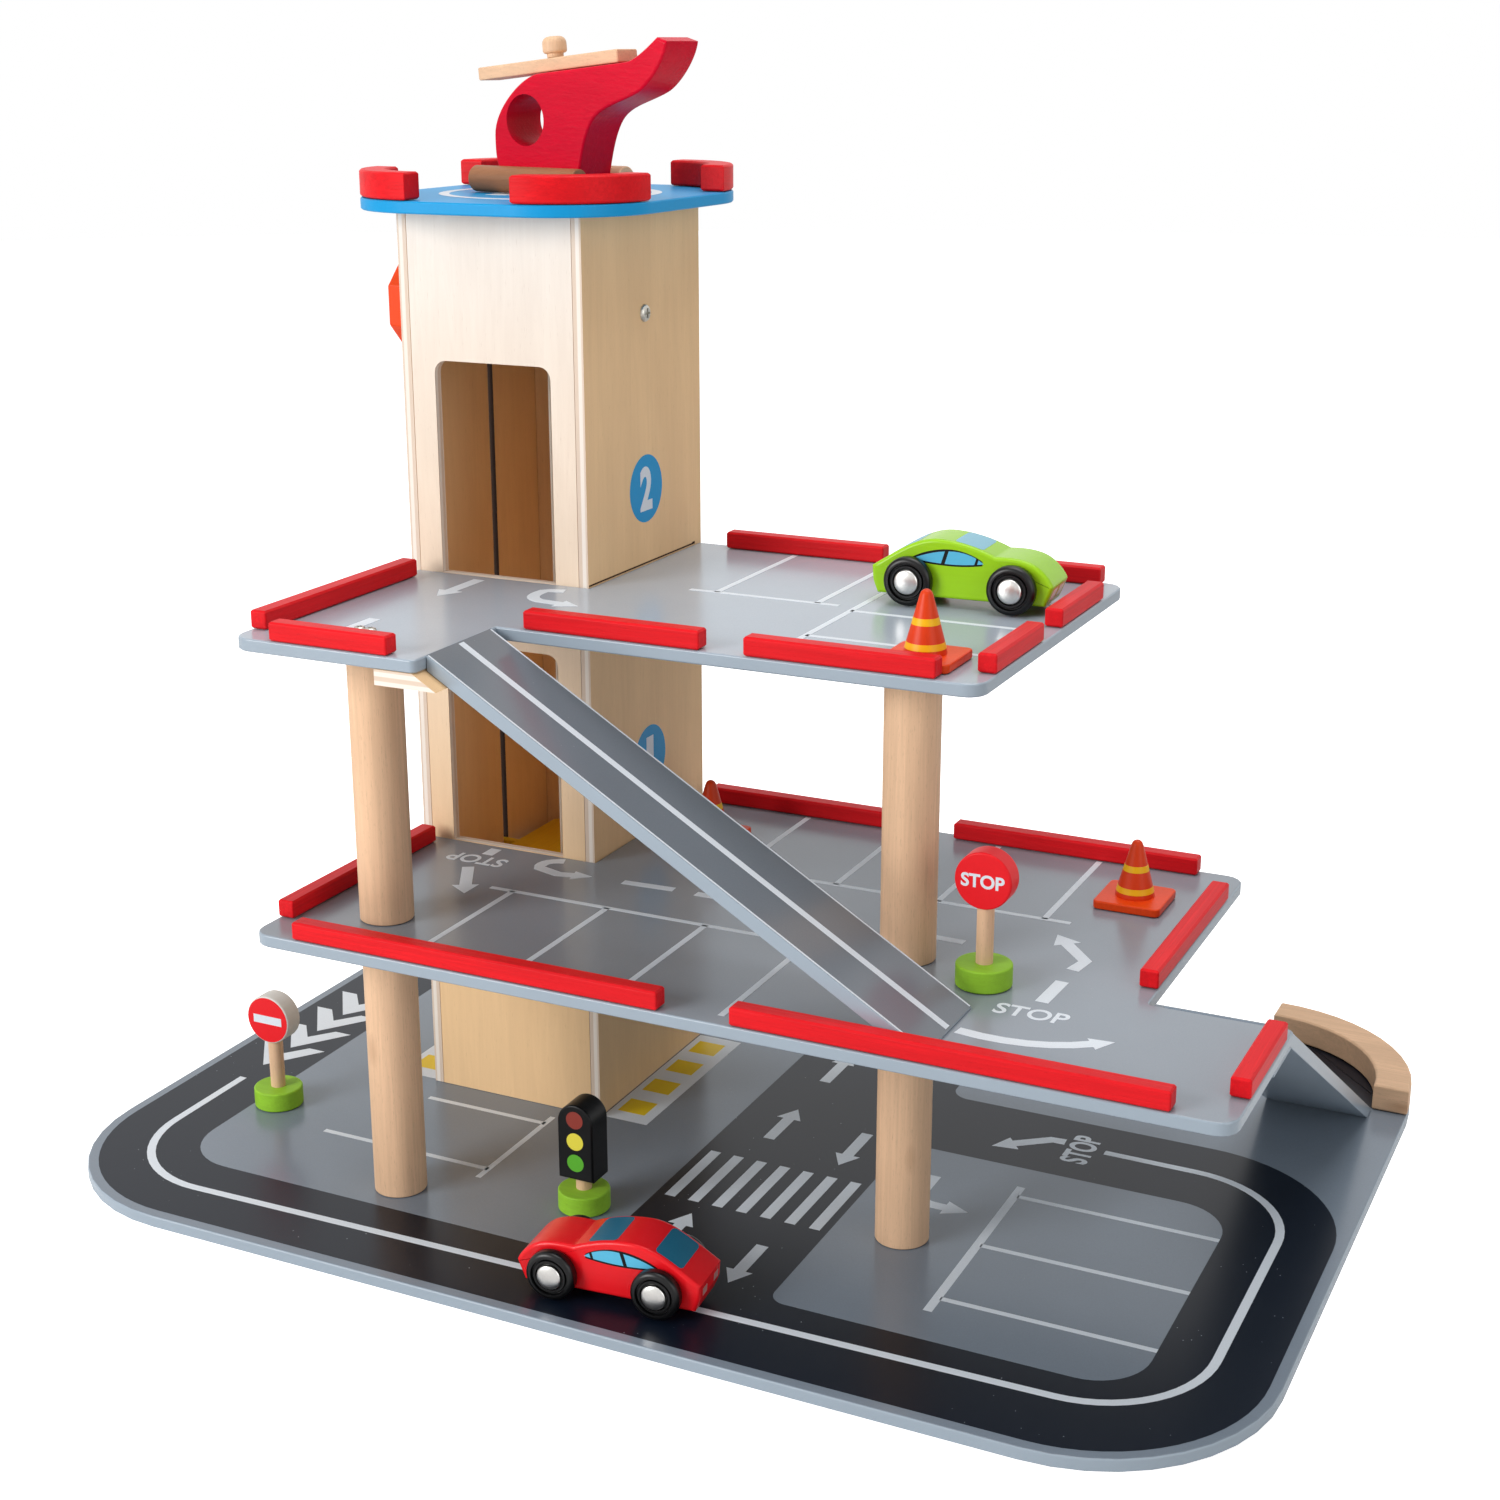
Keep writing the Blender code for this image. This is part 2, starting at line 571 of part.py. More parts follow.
def build_lift():
    left = TOWER_LEFT + TOWER_WALL + LIFT_SIDE_GAP
    right = TOWER_RIGHT - TOWER_WALL - LIFT_SIDE_GAP
    front = TOWER_FRONT + TOWER_WALL + LIFT_END_GAP
    back = TOWER_BACK - TOWER_WALL - LIFT_END_GAP
    half_tongue = LIFT_SLOT_WIDTH / 2 - GLUE_LINE
    tongue_tip = TOWER_LEFT + 2 * GLUE_LINE
    outline = rounded_outline(
        [
            (left, front, 0.003),
            (right, front, 0.003),
            (right, back, 0.003),
            (left, back, 0.003),
            (left, LIFT_SLOT_Y + half_tongue, 0),
            (tongue_tip, LIFT_SLOT_Y + half_tongue, 0),
            (tongue_tip, LIFT_SLOT_Y - half_tongue, 0),
            (left, LIFT_SLOT_Y - half_tongue, 0),
        ]
    )
    lift_top = MIDDLE_TOP - LIFT_BELOW_MIDDLE_DECK
    platform = board([point - Vector((TOWER_MIDDLE_X, SPOOL_Y)) for point in outline], -BOARD, 0)
    piece("lift_platform", platform, YELLOW_PAINT, (TOWER_MIDDLE_X, SPOOL_Y, lift_top))

    reach = TOWER_MIDDLE_X - TOWER_LEFT
    winding = WINDING_LENGTH / 2
    collar = SPOOL_RADIUS + SPOOL_COLLAR
    knob_end = -reach - KNOB_BORE_DEPTH
    wall_end = reach - TOWER_WALL - GLUE_LINE
    profile = [
        (0, knob_end),
        (SPOOL_RADIUS, knob_end),
        (SPOOL_RADIUS, -winding - SPOOL_COLLAR),
        (collar, -winding - SPOOL_COLLAR),
        (collar, -winding),
        (SPOOL_RADIUS, -winding),
        (SPOOL_RADIUS, winding),
        (collar, winding),
        (collar, winding + SPOOL_COLLAR),
        (SPOOL_RADIUS, winding + SPOOL_COLLAR),
        (SPOOL_RADIUS, wall_end),
        (0, wall_end),
    ]
    piece("winding_spool", turned(profile, 16, "X"), BEECH, (TOWER_MIDDLE_X, SPOOL_Y, SPOOL_Z))

    corner_radius = KNOB_FLATS / 2 / math.cos(math.pi / KNOB_SIDES)
    steps = [math.tau * (i + 0.5) / KNOB_SIDES for i in range(KNOB_SIDES)]
    outline = [Vector((corner_radius * math.cos(a), corner_radius * math.sin(a))) for a in steps]
    knob_x = TOWER_LEFT - RUNNING_GAP
    knob_place = (knob_x, SPOOL_Y, SPOOL_Z)
    knob = piece("crank_knob", board(outline, -KNOB_LENGTH, 0, KNOB_EDGE, axis="X"), ORANGE_PAINT, knob_place)
    bore_depth = KNOB_BORE_DEPTH + GLUE_LINE
    bore = dowel(SPOOL_RADIUS + GLUE_LINE, -bore_depth, TOWER_WALL, steps=16, axis="X")
    cut(knob, piece("knob_bore", bore, place=knob_place))

    cord_y = SPOOL_Y - SPOOL_RADIUS - CORD_RADIUS - GLUE_LINE
    route = bpy.data.curves.new("lift_cord", "CURVE")
    route.dimensions = "3D"
    route.bevel_depth = CORD_RADIUS
    route.bevel_resolution = 2
    route.use_fill_caps = True
    line = route.splines.new("POLY")
    line.points.add(1)
    line.points[0].co = (0, 0, lift_top + GLUE_LINE - SPOOL_Z, 1)
    line.points[1].co = (0, 0, 0, 1)
    cord = bpy.data.objects.new("lift_cord", route)
    bpy.context.scene.collection.objects.link(cord)
    cord.location = (TOWER_MIDDLE_X, cord_y, SPOOL_Z)
    paint(cord, WHITE_CORD)


def helicopter_outline():
    """The side of the helicopter: a round cabin whose top runs straight back into a tail that turns up."""
    tilt = math.degrees(ROTOR_TILT)
    bottom = HELICOPTER_BOTTOM
    return smooth_outline(
        [
            ((-18.5, bottom), (0, 150), (0, 6)),
            ((-23.5, 26.5), (90, 90), (8, 11)),
            ((-2.0, 53.5), (22, 22), (10, 4)),
            (ROTOR_SEAT, (tilt, tilt), (3, 0)),
            ((58.0, 60.5), (tilt, tilt), (0, 6)),
            ((75.5, 71.2), (36, 0), (6, 0)),
            ((81.5, 69.5), (0, 262), (0, 8)),
            ((65.5, 47.0), (204, 204), (8, 12)),
            ((37.5, 33.8), (232, 232), (9, 8)),
            ((28.5, bottom), (258, 0), (8, 0)),
        ],
        HELICOPTER_GRID,
        5,
    )


def build_helicopter():
    frame = group("helicopter", (TOWER_MIDDLE_X, PAD_MIDDLE_Y, PAD_TOP + GLUE_LINE), HELICOPTER_HEADING)
    half = HELICOPTER_THICKNESS / 2
    body_shape = board(helicopter_outline(), -half, half, HELICOPTER_EDGE, 2, "Y")
    body = piece("helicopter_body", body_shape, RED_PAINT, parent=frame)
    hole = dowel(CABIN_HOLE_RADIUS, -2 * half, 2 * half, steps=28, axis="Y")
    across, up = (value * HELICOPTER_GRID for value in CABIN_HOLE_MIDDLE)
    cut(body, piece("cabin_hole", hole, place=(across, 0, up), parent=frame))

    for side, y in (("near", -SKID_SPACING / 2), ("far", SKID_SPACING / 2)):
        place = (SKID_MIDDLE * HELICOPTER_GRID, y, SKID_RADIUS)
        skid = dowel(SKID_RADIUS, -SKID_LENGTH / 2, SKID_LENGTH / 2, POST_CHAMFER, 20, "X")
        piece(f"helicopter_skid_{side}", skid, BEECH, place, frame)
        cove = dowel(SKID_RADIUS + GLUE_LINE, -SKID_LENGTH, SKID_LENGTH, steps=20, axis="X")
        cut(body, piece(f"skid_cove_{side}", cove, place=place, parent=frame))

    across, up = (value * HELICOPTER_GRID for value in ROTOR_SEAT)
    hub = group("rotor_hub", (across, 0, up), parent=frame)
    hub.rotation_euler = (0, -ROTOR_TILT, 0)
    bar = rectangle(-ROTOR_LENGTH / 2, -ROTOR_WIDTH / 2, ROTOR_LENGTH / 2, ROTOR_WIDTH / 2, 0.001)
    low = SPIN_GAP
    rotor = piece("helicopter_rotor", board(bar, low, low + ROTOR_THICKNESS, 0.0005), BEECH, parent=hub)
    rotor_hole = dowel(PEG_STEM_RADIUS + RUNNING_GAP, -0.001, 2 * ROTOR_THICKNESS, steps=16)
    cut(rotor, piece("rotor_hole", rotor_hole, parent=hub))
    socket = dowel(PEG_STEM_RADIUS + GLUE_LINE, -PEG_DEPTH - GLUE_LINE, ROTOR_THICKNESS, steps=16)
    cut(body, piece("peg_socket", socket, parent=hub))
    neck = low + ROTOR_THICKNESS + PEG_NECK
    stem = PEG_STEM_RADIUS
    crown = [(PEG_HEAD_RADIUS, neck + PEG_HEAD_HEIGHT * 0.2), (PEG_HEAD_RADIUS, neck + PEG_HEAD_HEIGHT * 0.65)]
    crown += [(PEG_HEAD_RADIUS * 0.75, neck + PEG_HEAD_HEIGHT * 0.94), (0, neck + PEG_HEAD_HEIGHT)]
    profile = [(0, -PEG_DEPTH), (stem, -PEG_DEPTH), (stem, neck), (PEG_HEAD_RADIUS * 0.8, neck), *crown]
    piece("rotor_peg", turned(profile, 16), BEECH, parent=hub)


def car_outline():
    """The side of a car, nose at +X, above ground height 0."""
    return smooth_outline(
        [
            ((36.8, 9.5), (0, 80), (0, 3)),
            ((40.0, 17.8), (90, 90), (3, 3)),
            ((34.5, 25.2), (160, 160), (3, 5)),
            ((13.5, 27.5), (174, 150), (8, 4)),
            ((-8.0, 34.2), (180, 180), (10, 12)),
            ((-46.3, 20.6), (212, 0), (12, 0)),
            ((-46.0, 14.5), (0, 280), (0, 2)),
            ((-43.5, 9.0), (290, 0), (2, 0)),
        ],
        CAR_GRID,
        5,
    )


def wheel_set_profile():
    """Half a wheel set from the middle of the axle out to the dome of its hub cap, then its mirror image."""
    inner = CAR_WIDTH / 2 + WHEEL_SIDE_GAP
    outer = inner + TYRE_WIDTH
    rim = WHEEL_RADIUS * 0.60
    hub = WHEEL_RADIUS * 0.50
    half = [
        (AXLE_RADIUS, inner),
        (WHEEL_RADIUS * 0.88, inner),
        (WHEEL_RADIUS, inner + TYRE_WIDTH * 0.2),
        (WHEEL_RADIUS, outer - TYRE_WIDTH * 0.2),
        (WHEEL_RADIUS * 0.86, outer),
        (rim, outer),
        (rim, outer - TYRE_WIDTH * 0.1),
        (hub, outer - TYRE_WIDTH * 0.1),
        (hub, outer + TYRE_WIDTH * 0.06),
        (hub * 0.6, outer + TYRE_WIDTH * 0.2),
        (0, outer + TYRE_WIDTH * 0.25),
    ]
    return [(radius, -reach) for radius, reach in reversed(half)] + half


def build_car(colour, finish, place, floor, heading):
    frame = group(f"{colour}_car", (*place, floor + GLUE_LINE), heading)
    half = CAR_WIDTH / 2
    body = piece(f"{colour}_car_body", board(car_outline(), -half, half, CAR_EDGE, 2, "Y"), finish, parent=frame)
    for end, x in (("front", WHEELBASE / 2), ("rear", -WHEELBASE / 2)):
        axle = (x, 0, WHEEL_RADIUS)
        hole = dowel(AXLE_RADIUS + RUNNING_GAP, -CAR_WIDTH, CAR_WIDTH, steps=12, axis="Y")
        cut(body, piece(f"{colour}_axle_hole_{end}", hole, place=axle, parent=frame))
        piece(f"{colour}_car_{end}_wheels", turned(wheel_set_profile(), 20, "Y"), BLACK_RUBBER, axle, frame)


def sign_stand(name, place, floor, post_top):
    low = 0.0008
    radius = SIGN_BASE_RADIUS
    profile = [
        (0, 0),
        (radius - low, 0),
        (radius, low),
        (radius, SIGN_BASE_HEIGHT - low),
        (radius - low, SIGN_BASE_HEIGHT),
        (SIGN_POST_RADIUS, SIGN_BASE_HEIGHT),
        (SIGN_POST_RADIUS, post_top),
        (0, post_top),
    ]
    return piece(name, turned(profile), GREEN_PAINT, (*place, floor + GLUE_LINE))


def sign_socket(name, stand, post_top):
    hole = dowel(SIGN_POST_RADIUS + GLUE_LINE, 0, post_top + GLUE_LINE)
    return piece(name, hole, parent=stand)


def build_disc_sign(name, place, floor):
    """A round wooden disc on a post in a turned foot."""
    post_top = SIGN_DISC_HEIGHT - SIGN_DISC_RADIUS + SIGN_SOCKET
    stand = sign_stand(f"{name}_stand", place, floor, post_top)
    disc = dowel(SIGN_DISC_RADIUS, -SIGN_DISC_THICKNESS / 2, SIGN_DISC_THICKNESS / 2, 0.0008, 32, "Y")
    head = piece(f"{name}_head", disc, RED_PAINT, (0, 0, SIGN_DISC_HEIGHT), stand)
    cut(head, sign_socket(f"{name}_socket", stand, post_top))


def build_traffic_light(place, floor):
    post_top = LIGHT_BOTTOM + SIGN_SOCKET
    stand = sign_stand("traffic_light_stand", place, floor, post_top)
    half = LIGHT_WIDTH / 2
    arch = arc((0, LIGHT_HEIGHT - half), half, 0, 180, 12)
    outline = [Vector((-half, 0)), Vector((half, 0)), *arch]
    block = board(outline, -LIGHT_DEPTH / 2, LIGHT_DEPTH / 2, 0.0009, 1, "Y")
    head = piece("traffic_light_head", block, BLACK_PAINT, (0, 0, LIGHT_BOTTOM), stand)
    cut(head, sign_socket("traffic_light_socket", stand, post_top))


def build_cone(name, place, floor):
    """A traffic cone turned in one piece with a straight side and a round tip, on a square plate."""
    half = CONE_PLATE / 2
    outline = rectangle(-half, -half, half, half, 0.003)
    plate = board(outline, 0, CONE_PLATE_THICKNESS, 0.0006)
    foot = piece(name, plate, ORANGE_PAINT, (*place, floor + GLUE_LINE))
    shoulder = CONE_HEIGHT - CONE_TOP_RADIUS
    profile = [
        (0, CONE_PLATE_THICKNESS / 2),
        (CONE_FOOT_RADIUS, CONE_PLATE_THICKNESS / 2),
        (CONE_FOOT_RADIUS, CONE_PLATE_THICKNESS + 0.0012),
        (CONE_TOP_RADIUS * 1.1, shoulder),
        (CONE_TOP_RADIUS * 0.8, shoulder + CONE_TOP_RADIUS * 0.6),
        (0, CONE_HEIGHT),
    ]
    join(foot, piece(f"{name}_turning", turned(profile, 20), parent=foot))


def build_toys():
    red_place = (RED_CAR_FROM_LEFT - BASE_RIGHT, RED_CAR_FROM_FRONT - BASE_BACK)
    build_car("red", RED_PAINT, red_place, GROUND, RED_CAR_HEADING)
    green_place = (UPPER_RIGHT - GREEN_CAR_FROM_RIGHT, DECK_BACK - GREEN_CAR_FROM_BACK)
    build_car("green", GREEN_PAINT, green_place, UPPER_TOP, GREEN_CAR_HEADING)
    stop_y = UPPER_RAMP_FRONT + RAMP_WIDTH + STOP_SIGN_BEHIND_RAMP
    build_disc_sign("stop_sign", (RIGHT_POST_PLACE[0] + STOP_SIGN_PAST_POST, stop_y), MIDDLE_TOP)
    no_entry_place = (NO_ENTRY_FROM_LEFT - BASE_RIGHT, NO_ENTRY_FROM_FRONT - BASE_BACK)
    build_disc_sign("no_entry_sign", no_entry_place, GROUND)
    build_traffic_light((TOWER_RIGHT + LIGHT_PAST_TOWER, LIGHT_FROM_FRONT - BASE_BACK), GROUND)
    cone_place = (UPPER_RIGHT - UPPER_CONE_FROM_RIGHT, UPPER_FRONT + UPPER_CONE_FROM_FRONT)
    build_cone("cone_upper_deck", cone_place, UPPER_TOP)
    cone_place = (MIDDLE_RIGHT - RIGHT_CONE_FROM_RIGHT, DECK_BACK - RIGHT_CONE_FROM_BACK)
    build_cone("cone_middle_deck_right", cone_place, MIDDLE_TOP)
    cone_place = (TOWER_RIGHT + BACK_CONE_PAST_TOWER, DECK_BACK - BACK_CONE_FROM_BACK)
    build_cone("cone_middle_deck_back", cone_place, MIDDLE_TOP)


def main():
    clear_scene()
    build_base()
    build_decks()
    build_posts()
    build_tower()
    build_ramps()
    build_upper_kerbs()
    build_middle_kerbs()
    build_helipad()
    build_lift()
    build_helicopter()
    build_toys()


main()
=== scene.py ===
"""Paints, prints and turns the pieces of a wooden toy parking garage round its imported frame."""

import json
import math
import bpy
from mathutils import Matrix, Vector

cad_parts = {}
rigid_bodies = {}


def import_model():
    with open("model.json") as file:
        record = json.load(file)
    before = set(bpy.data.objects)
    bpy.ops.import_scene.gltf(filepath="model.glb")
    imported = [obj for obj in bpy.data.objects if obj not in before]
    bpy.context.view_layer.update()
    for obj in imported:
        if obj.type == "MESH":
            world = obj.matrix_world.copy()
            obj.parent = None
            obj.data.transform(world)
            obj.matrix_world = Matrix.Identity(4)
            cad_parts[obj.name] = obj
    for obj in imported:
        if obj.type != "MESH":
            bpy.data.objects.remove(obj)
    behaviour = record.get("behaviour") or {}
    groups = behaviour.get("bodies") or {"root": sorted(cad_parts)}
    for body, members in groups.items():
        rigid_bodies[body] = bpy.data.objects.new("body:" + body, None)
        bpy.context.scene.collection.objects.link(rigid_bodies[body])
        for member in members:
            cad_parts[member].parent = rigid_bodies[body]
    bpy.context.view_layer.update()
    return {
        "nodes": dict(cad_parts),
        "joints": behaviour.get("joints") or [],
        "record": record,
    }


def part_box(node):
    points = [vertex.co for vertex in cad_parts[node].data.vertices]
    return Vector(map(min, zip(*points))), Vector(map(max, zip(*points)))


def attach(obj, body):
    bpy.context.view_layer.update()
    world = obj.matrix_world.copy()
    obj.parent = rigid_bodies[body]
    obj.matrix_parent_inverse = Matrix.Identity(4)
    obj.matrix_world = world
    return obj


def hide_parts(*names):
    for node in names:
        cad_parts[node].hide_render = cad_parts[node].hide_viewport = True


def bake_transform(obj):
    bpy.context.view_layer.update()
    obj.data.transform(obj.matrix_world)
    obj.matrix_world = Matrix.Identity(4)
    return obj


bl_info = {
    "name": "Wooden toy garage finishes",
    "version": (1, 0, 0),
    "blender": (4, 5, 0),
    "location": "View3D > Sidebar > Garage",
    "description": "Gives a wooden toy parking garage its paint, printed roads and turned toys",
    "category": "Object",
}

import bmesh
import bpy
from bpy.props import FloatProperty, FloatVectorProperty, IntProperty, PointerProperty
from mathutils import Matrix, Vector
from mathutils.geometry import interpolate_bezier

for leftover in list(bpy.data.objects):
    bpy.data.objects.remove(leftover)
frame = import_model()
RECORD = frame["record"]
BODY_OF = {node: body for body, nodes in RECORD["behaviour"]["bodies"].items() for node in nodes}
JOINTS = {joint["name"]: joint for joint in frame["joints"]}
MM = 0.001


def linear(code):
    """An sRGB hex colour as linear red, green and blue."""
    channels = [int(code[i : i + 2], 16) / 255 for i in (0, 2, 4)]
    return tuple(c / 12.92 if c <= 0.04045 else ((c + 0.055) / 1.055) ** 2.4 for c in channels)


def colour(label, what, code):
    kind = {"subtype": "COLOR", "min": 0, "max": 1}
    return FloatVectorProperty(name=label, description=what, default=linear(code), **kind)


def length(label, what, default):
    kind = {"subtype": "DISTANCE", "unit": "LENGTH", "precision": 5}
    return FloatProperty(name=label, description=what, default=default, **kind)


class GarageSizes(bpy.types.PropertyGroup):
    """Sizes of the finish that may be changed."""

    ink: length("Ink", "Thickness of one printed layer", 0.03 * MM)
    arrow_stem: length("Arrow stem", "Width of a printed arrow's stem", 6 * MM)
    arrow_head: length("Arrow head", "Width of a printed arrow's head", 13 * MM)
    lane_line: length("Lane line", "Width of the line in the middle of a lane", 4.2 * MM)
    bay_line: length("Bay line", "Width of the lines of a parking bay", 3 * MM)
    screw_head: length("Screw head", "Diameter of a screw's head", 5.4 * MM)
    cord: length("Cord", "Diameter of the lift's cord", 1.5 * MM)
    strand_turn: length("Strand turn", "Length of one turn of the cord's strands", 4 * MM)
    strands: IntProperty(
        name="Strands", description="Strands twisted into the cord", default=3, min=2, max=6
    )


class GarageColours(bpy.types.PropertyGroup):
    """Colours of the paints, inks and woods."""

    grey_top: colour("Grey print", "Printed top of the boards", "a9b3be")
    ground_grey: colour("Ground grey", "Printed islands and corners of the base board", "7b8692")
    grey_edge: colour("Grey edge", "Painted edges of the boards", "99a6b2")
    asphalt: colour("Asphalt", "Printed roads", "0b1320")
    white_ink: colour("White ink", "Printed lines and arrows", "e2e9f0")
    yellow_ink: colour("Yellow ink", "Printed yellow marks", "f0cd12")
    red: colour("Red stain", "Curbs round the decks", "ec1620")
    crimson: colour("Crimson", "Helicopter", "de042c")
    car_red: colour("Car red", "Red car", "ee1620")
    car_green: colour("Car green", "Green car", "9ed41c")
    blue: colour("Blue", "Helicopter pad and floor numbers", "0896d2")
    orange: colour("Orange", "Crank knob and feet of the cones", "ee470b")
    deep_orange: colour("Deep orange", "Turned part of the cones", "dd3f12")
    lime: colour("Lime", "Feet of the signs", "9cd238")
    yellow: colour("Yellow", "Lift platform", "ffd22a")
    # Beech darkened as painted shade on the near skid under the helicopter's body.
    shade_darkened_beech: colour("Dark beech", "Near skid of the helicopter", "a8734f")
    beech: colour("Beech", "Posts, skids and rotor", "f0c6a0")
    birch: colour("Birch", "Front wall of the tower", "efe4d8")
    # Warmer birch of the other walls. The front wall's foot is painted towards it as warm shade and
    # reflected light.
    warm_birch_and_shade: colour("Warm birch", "Other walls of the tower", "f6cf9e")
    # Dark brown painted as shade in the lift's slot and in the gap where the upper deck meets the right
    # wall.
    gap_shade_brown: colour("Burnt edge", "Edges that were cut by laser", "3a2110")
    glass: colour("Glass", "Painted side windows", "5cbce0")
    screen: colour("Screen", "Painted windscreen of the red car", "1c6a88")
    black: colour("Black", "Traffic light and window frames", "060607")


def sizes():
    return bpy.context.scene.garage_sizes


def colours():
    return bpy.context.scene.garage_colours


def add(tree, kind, inputs=None, **settings):
    """Adds a node: settings are its properties, and inputs are its sockets' values or what feeds them."""
    node = tree.nodes.new(kind)
    for name, value in settings.items():
        setattr(node, name, value)
    for name, value in (inputs or {}).items():
        if isinstance(value, bpy.types.Node):
            value = value.outputs[0]
        if isinstance(value, bpy.types.NodeSocket):
            tree.links.new(value, node.inputs[name])
        else:
            node.inputs[name].default_value = value
    return node


def maths(tree, operation, *values):
    return add(tree, "ShaderNodeMath", dict(enumerate(values)), operation=operation)


def ranged(tree, value, low, high):
    """A value's range from low to high, drawn out to 0 to 1."""
    return add(tree, "ShaderNodeMapRange", {"Value": value, "From Min": low, "From Max": high})


def material(name, paint, **shader_values):
    """The named material. paint(tree) gives what feeds its shader when it is first asked for."""
    known = bpy.data.materials.get(name)
    if known:
        return known
    made = bpy.data.materials.new(name)
    made.use_nodes = True
    made.node_tree.nodes.clear()
    values = {}
    for socket, value in shader_values.items():
        values[socket.replace("_", " ").title().replace("Ior", "IOR")] = value
    values.update(paint(made.node_tree))
    shader = add(made.node_tree, "ShaderNodeBsdfPrincipled", values)
    add(made.node_tree, "ShaderNodeOutputMaterial", {"Surface": shader})
    return made


def stretched(tree, axis, across, along):
    """Object coordinates in cells, across wide and along long in millimetres, drawn out along an axis."""
    scale = [1 / (across * MM)] * 3
    scale["XYZ".index(axis)] = 1 / (along * MM)
    place = add(tree, "ShaderNodeTexCoord")
    return add(tree, "ShaderNodeMapping", {"Vector": place.outputs["Object"], "Scale": scale})


def even(tree, cell):
    """Object coordinates in cubic cells of a size in millimetres."""
    return stretched(tree, "X", cell, cell)


def noise(tree, vector, low, high, detail=3.0, wander=0.0):
    """Noise with its range from low to high drawn out, and its lines wandering."""
    grain = {"Vector": vector, "Scale": 1.0, "Detail": detail, "Roughness": 0.6, "Distortion": wander}
    return ranged(tree, add(tree, "ShaderNodeTexNoise", grain), low, high)


def mixed(tree, share, first, second):
    """One colour turning into another by share. Colours may be sockets or linear values."""
    inputs = {0: share}
    for socket, end in ((6, first), (7, second)):
        inputs[socket] = end if isinstance(end, bpy.types.NodeSocket) else (*end[:3], 1)
    return add(tree, "ShaderNodeMix", inputs, data_type="RGBA").outputs[2]


def shaded(value, factor):
    return tuple(channel * factor for channel in value[:3])


def scaled(tree, value, factor):
    return maths(tree, "MULTIPLY", value, factor)


def bumped(tree, height, depth):
    """A normal raised by height, with its full depth in millimetres."""
    return add(tree, "ShaderNodeBump", {"Height": height, "Strength": 1.0, "Distance": depth * MM})


def wood(name, axis, light, streak=0.22, fleck=0.3, depth=0.04, knots=0.0, **shader_values):
    """Planed wood: soft streaks 1.7 mm wide and short pores, both drawn out along the grain's axis."""

    def paint(tree):
        streaks = noise(tree, stretched(tree, axis, 1.7, 60), 0.3, 0.72, wander=0.7)
        broad = noise(tree, stretched(tree, axis, 14, 130), 0.32, 0.68, 2.0, 0.5)
        pores = noise(tree, stretched(tree, axis, 0.45, 4.5), 0.6, 0.72, 2.0)
        base = mixed(tree, broad, light, shaded(light, 1 - streak * 0.9))
        streaky = mixed(tree, scaled(tree, streaks, 0.65), base, shaded(light, 1 - streak * 1.6))
        flecked = mixed(tree, scaled(tree, pores, fleck), streaky, shaded(light, 0.42))
        if knots:
            cells = {"Vector": stretched(tree, axis, 30, 75), "Scale": 1.0}
            cells = add(tree, "ShaderNodeTexVoronoi", cells)
            spot = ranged(tree, cells.outputs["Distance"], 0.16, 0.02)
            flecked = mixed(tree, scaled(tree, spot, knots), flecked, shaded(linear("8f5a34"), 0.9))
        return {"Base Color": flecked, "Normal": bumped(tree, streaks, depth)}

    return material(f"{name}_{axis.lower()}", paint, **shader_values)


def beech(axis):
    # Beech, turned or planed and clear lacquered: pinkish tan with short dark flecks along the grain and
    # a few small knots, satin.
    satin = {"roughness": 0.5, "specular_ior_level": 0.25}
    return wood("lacquered_beech", axis, colours().beech, 0.17, 0.34, knots=0.5, **satin)


def shade_darkened_beech():
    # Beech, turned and lacquered, darkened to brown as painted shade for the near skid, with the same short
    # flecks.
    satin = {"roughness": 0.45, "specular_ior_level": 0.25}
    return wood("near_skid_shaded_beech", "X", colours().shade_darkened_beech, 0.2, 0.3, **satin)


def red_stain(axis):
    # Square bar in red water stain under matt lacquer: bright red, the grain showing as darker streaks.
    matt = {"roughness": 0.42, "specular_ior_level": 0.14}
    return wood("red_stained_bar", axis, colours().red, 0.2, 0.3, 0.07, **matt)


def orange_paint(name="orange", value=None):
    # Orange paint sprayed on turned wood: even colour, soft gloss, the grain just raised.
    gloss = {"roughness": 0.36, "specular_ior_level": 0.2}
    return wood(f"{name}_sprayed_wood", "Z", value or colours().orange, 0.08, 0.1, 0.03, **gloss)


def lime_stain():
    # Lime green stain on a turned foot: rings of grain on the end face show through.
    satin = {"roughness": 0.5, "specular_ior_level": 0.2}
    return wood("lime_stained_wood", "X", colours().lime, 0.14, 0.2, 0.05, **satin)


def yellow_paint():
    # Yellow paint on the lift's board, thin enough for the grain to show.
    satin = {"roughness": 0.45, "specular_ior_level": 0.2}
    return wood("yellow_painted_board", "Y", colours().yellow, 0.1, 0.12, **satin)


def crimson_paint():
    # Crimson stain and lacquer on the helicopter: deep red, silky, with the pores of the wood raised.
    silky = {"roughness": 0.32, "specular_ior_level": 0.12}
    return wood("crimson_lacquered_wood", "X", colours().crimson, 0.14, 0.2, 0.06, **silky)


def car_paint(name, value):
    # Car enamel dipped on wood: even, glossy, with a faint pull of the grain under the coat.
    glossy = {"roughness": 0.22, "specular_ior_level": 0.25}
    return wood(f"{name}_car_enamel", "X", value, 0.05, 0.05, 0.02, **glossy)


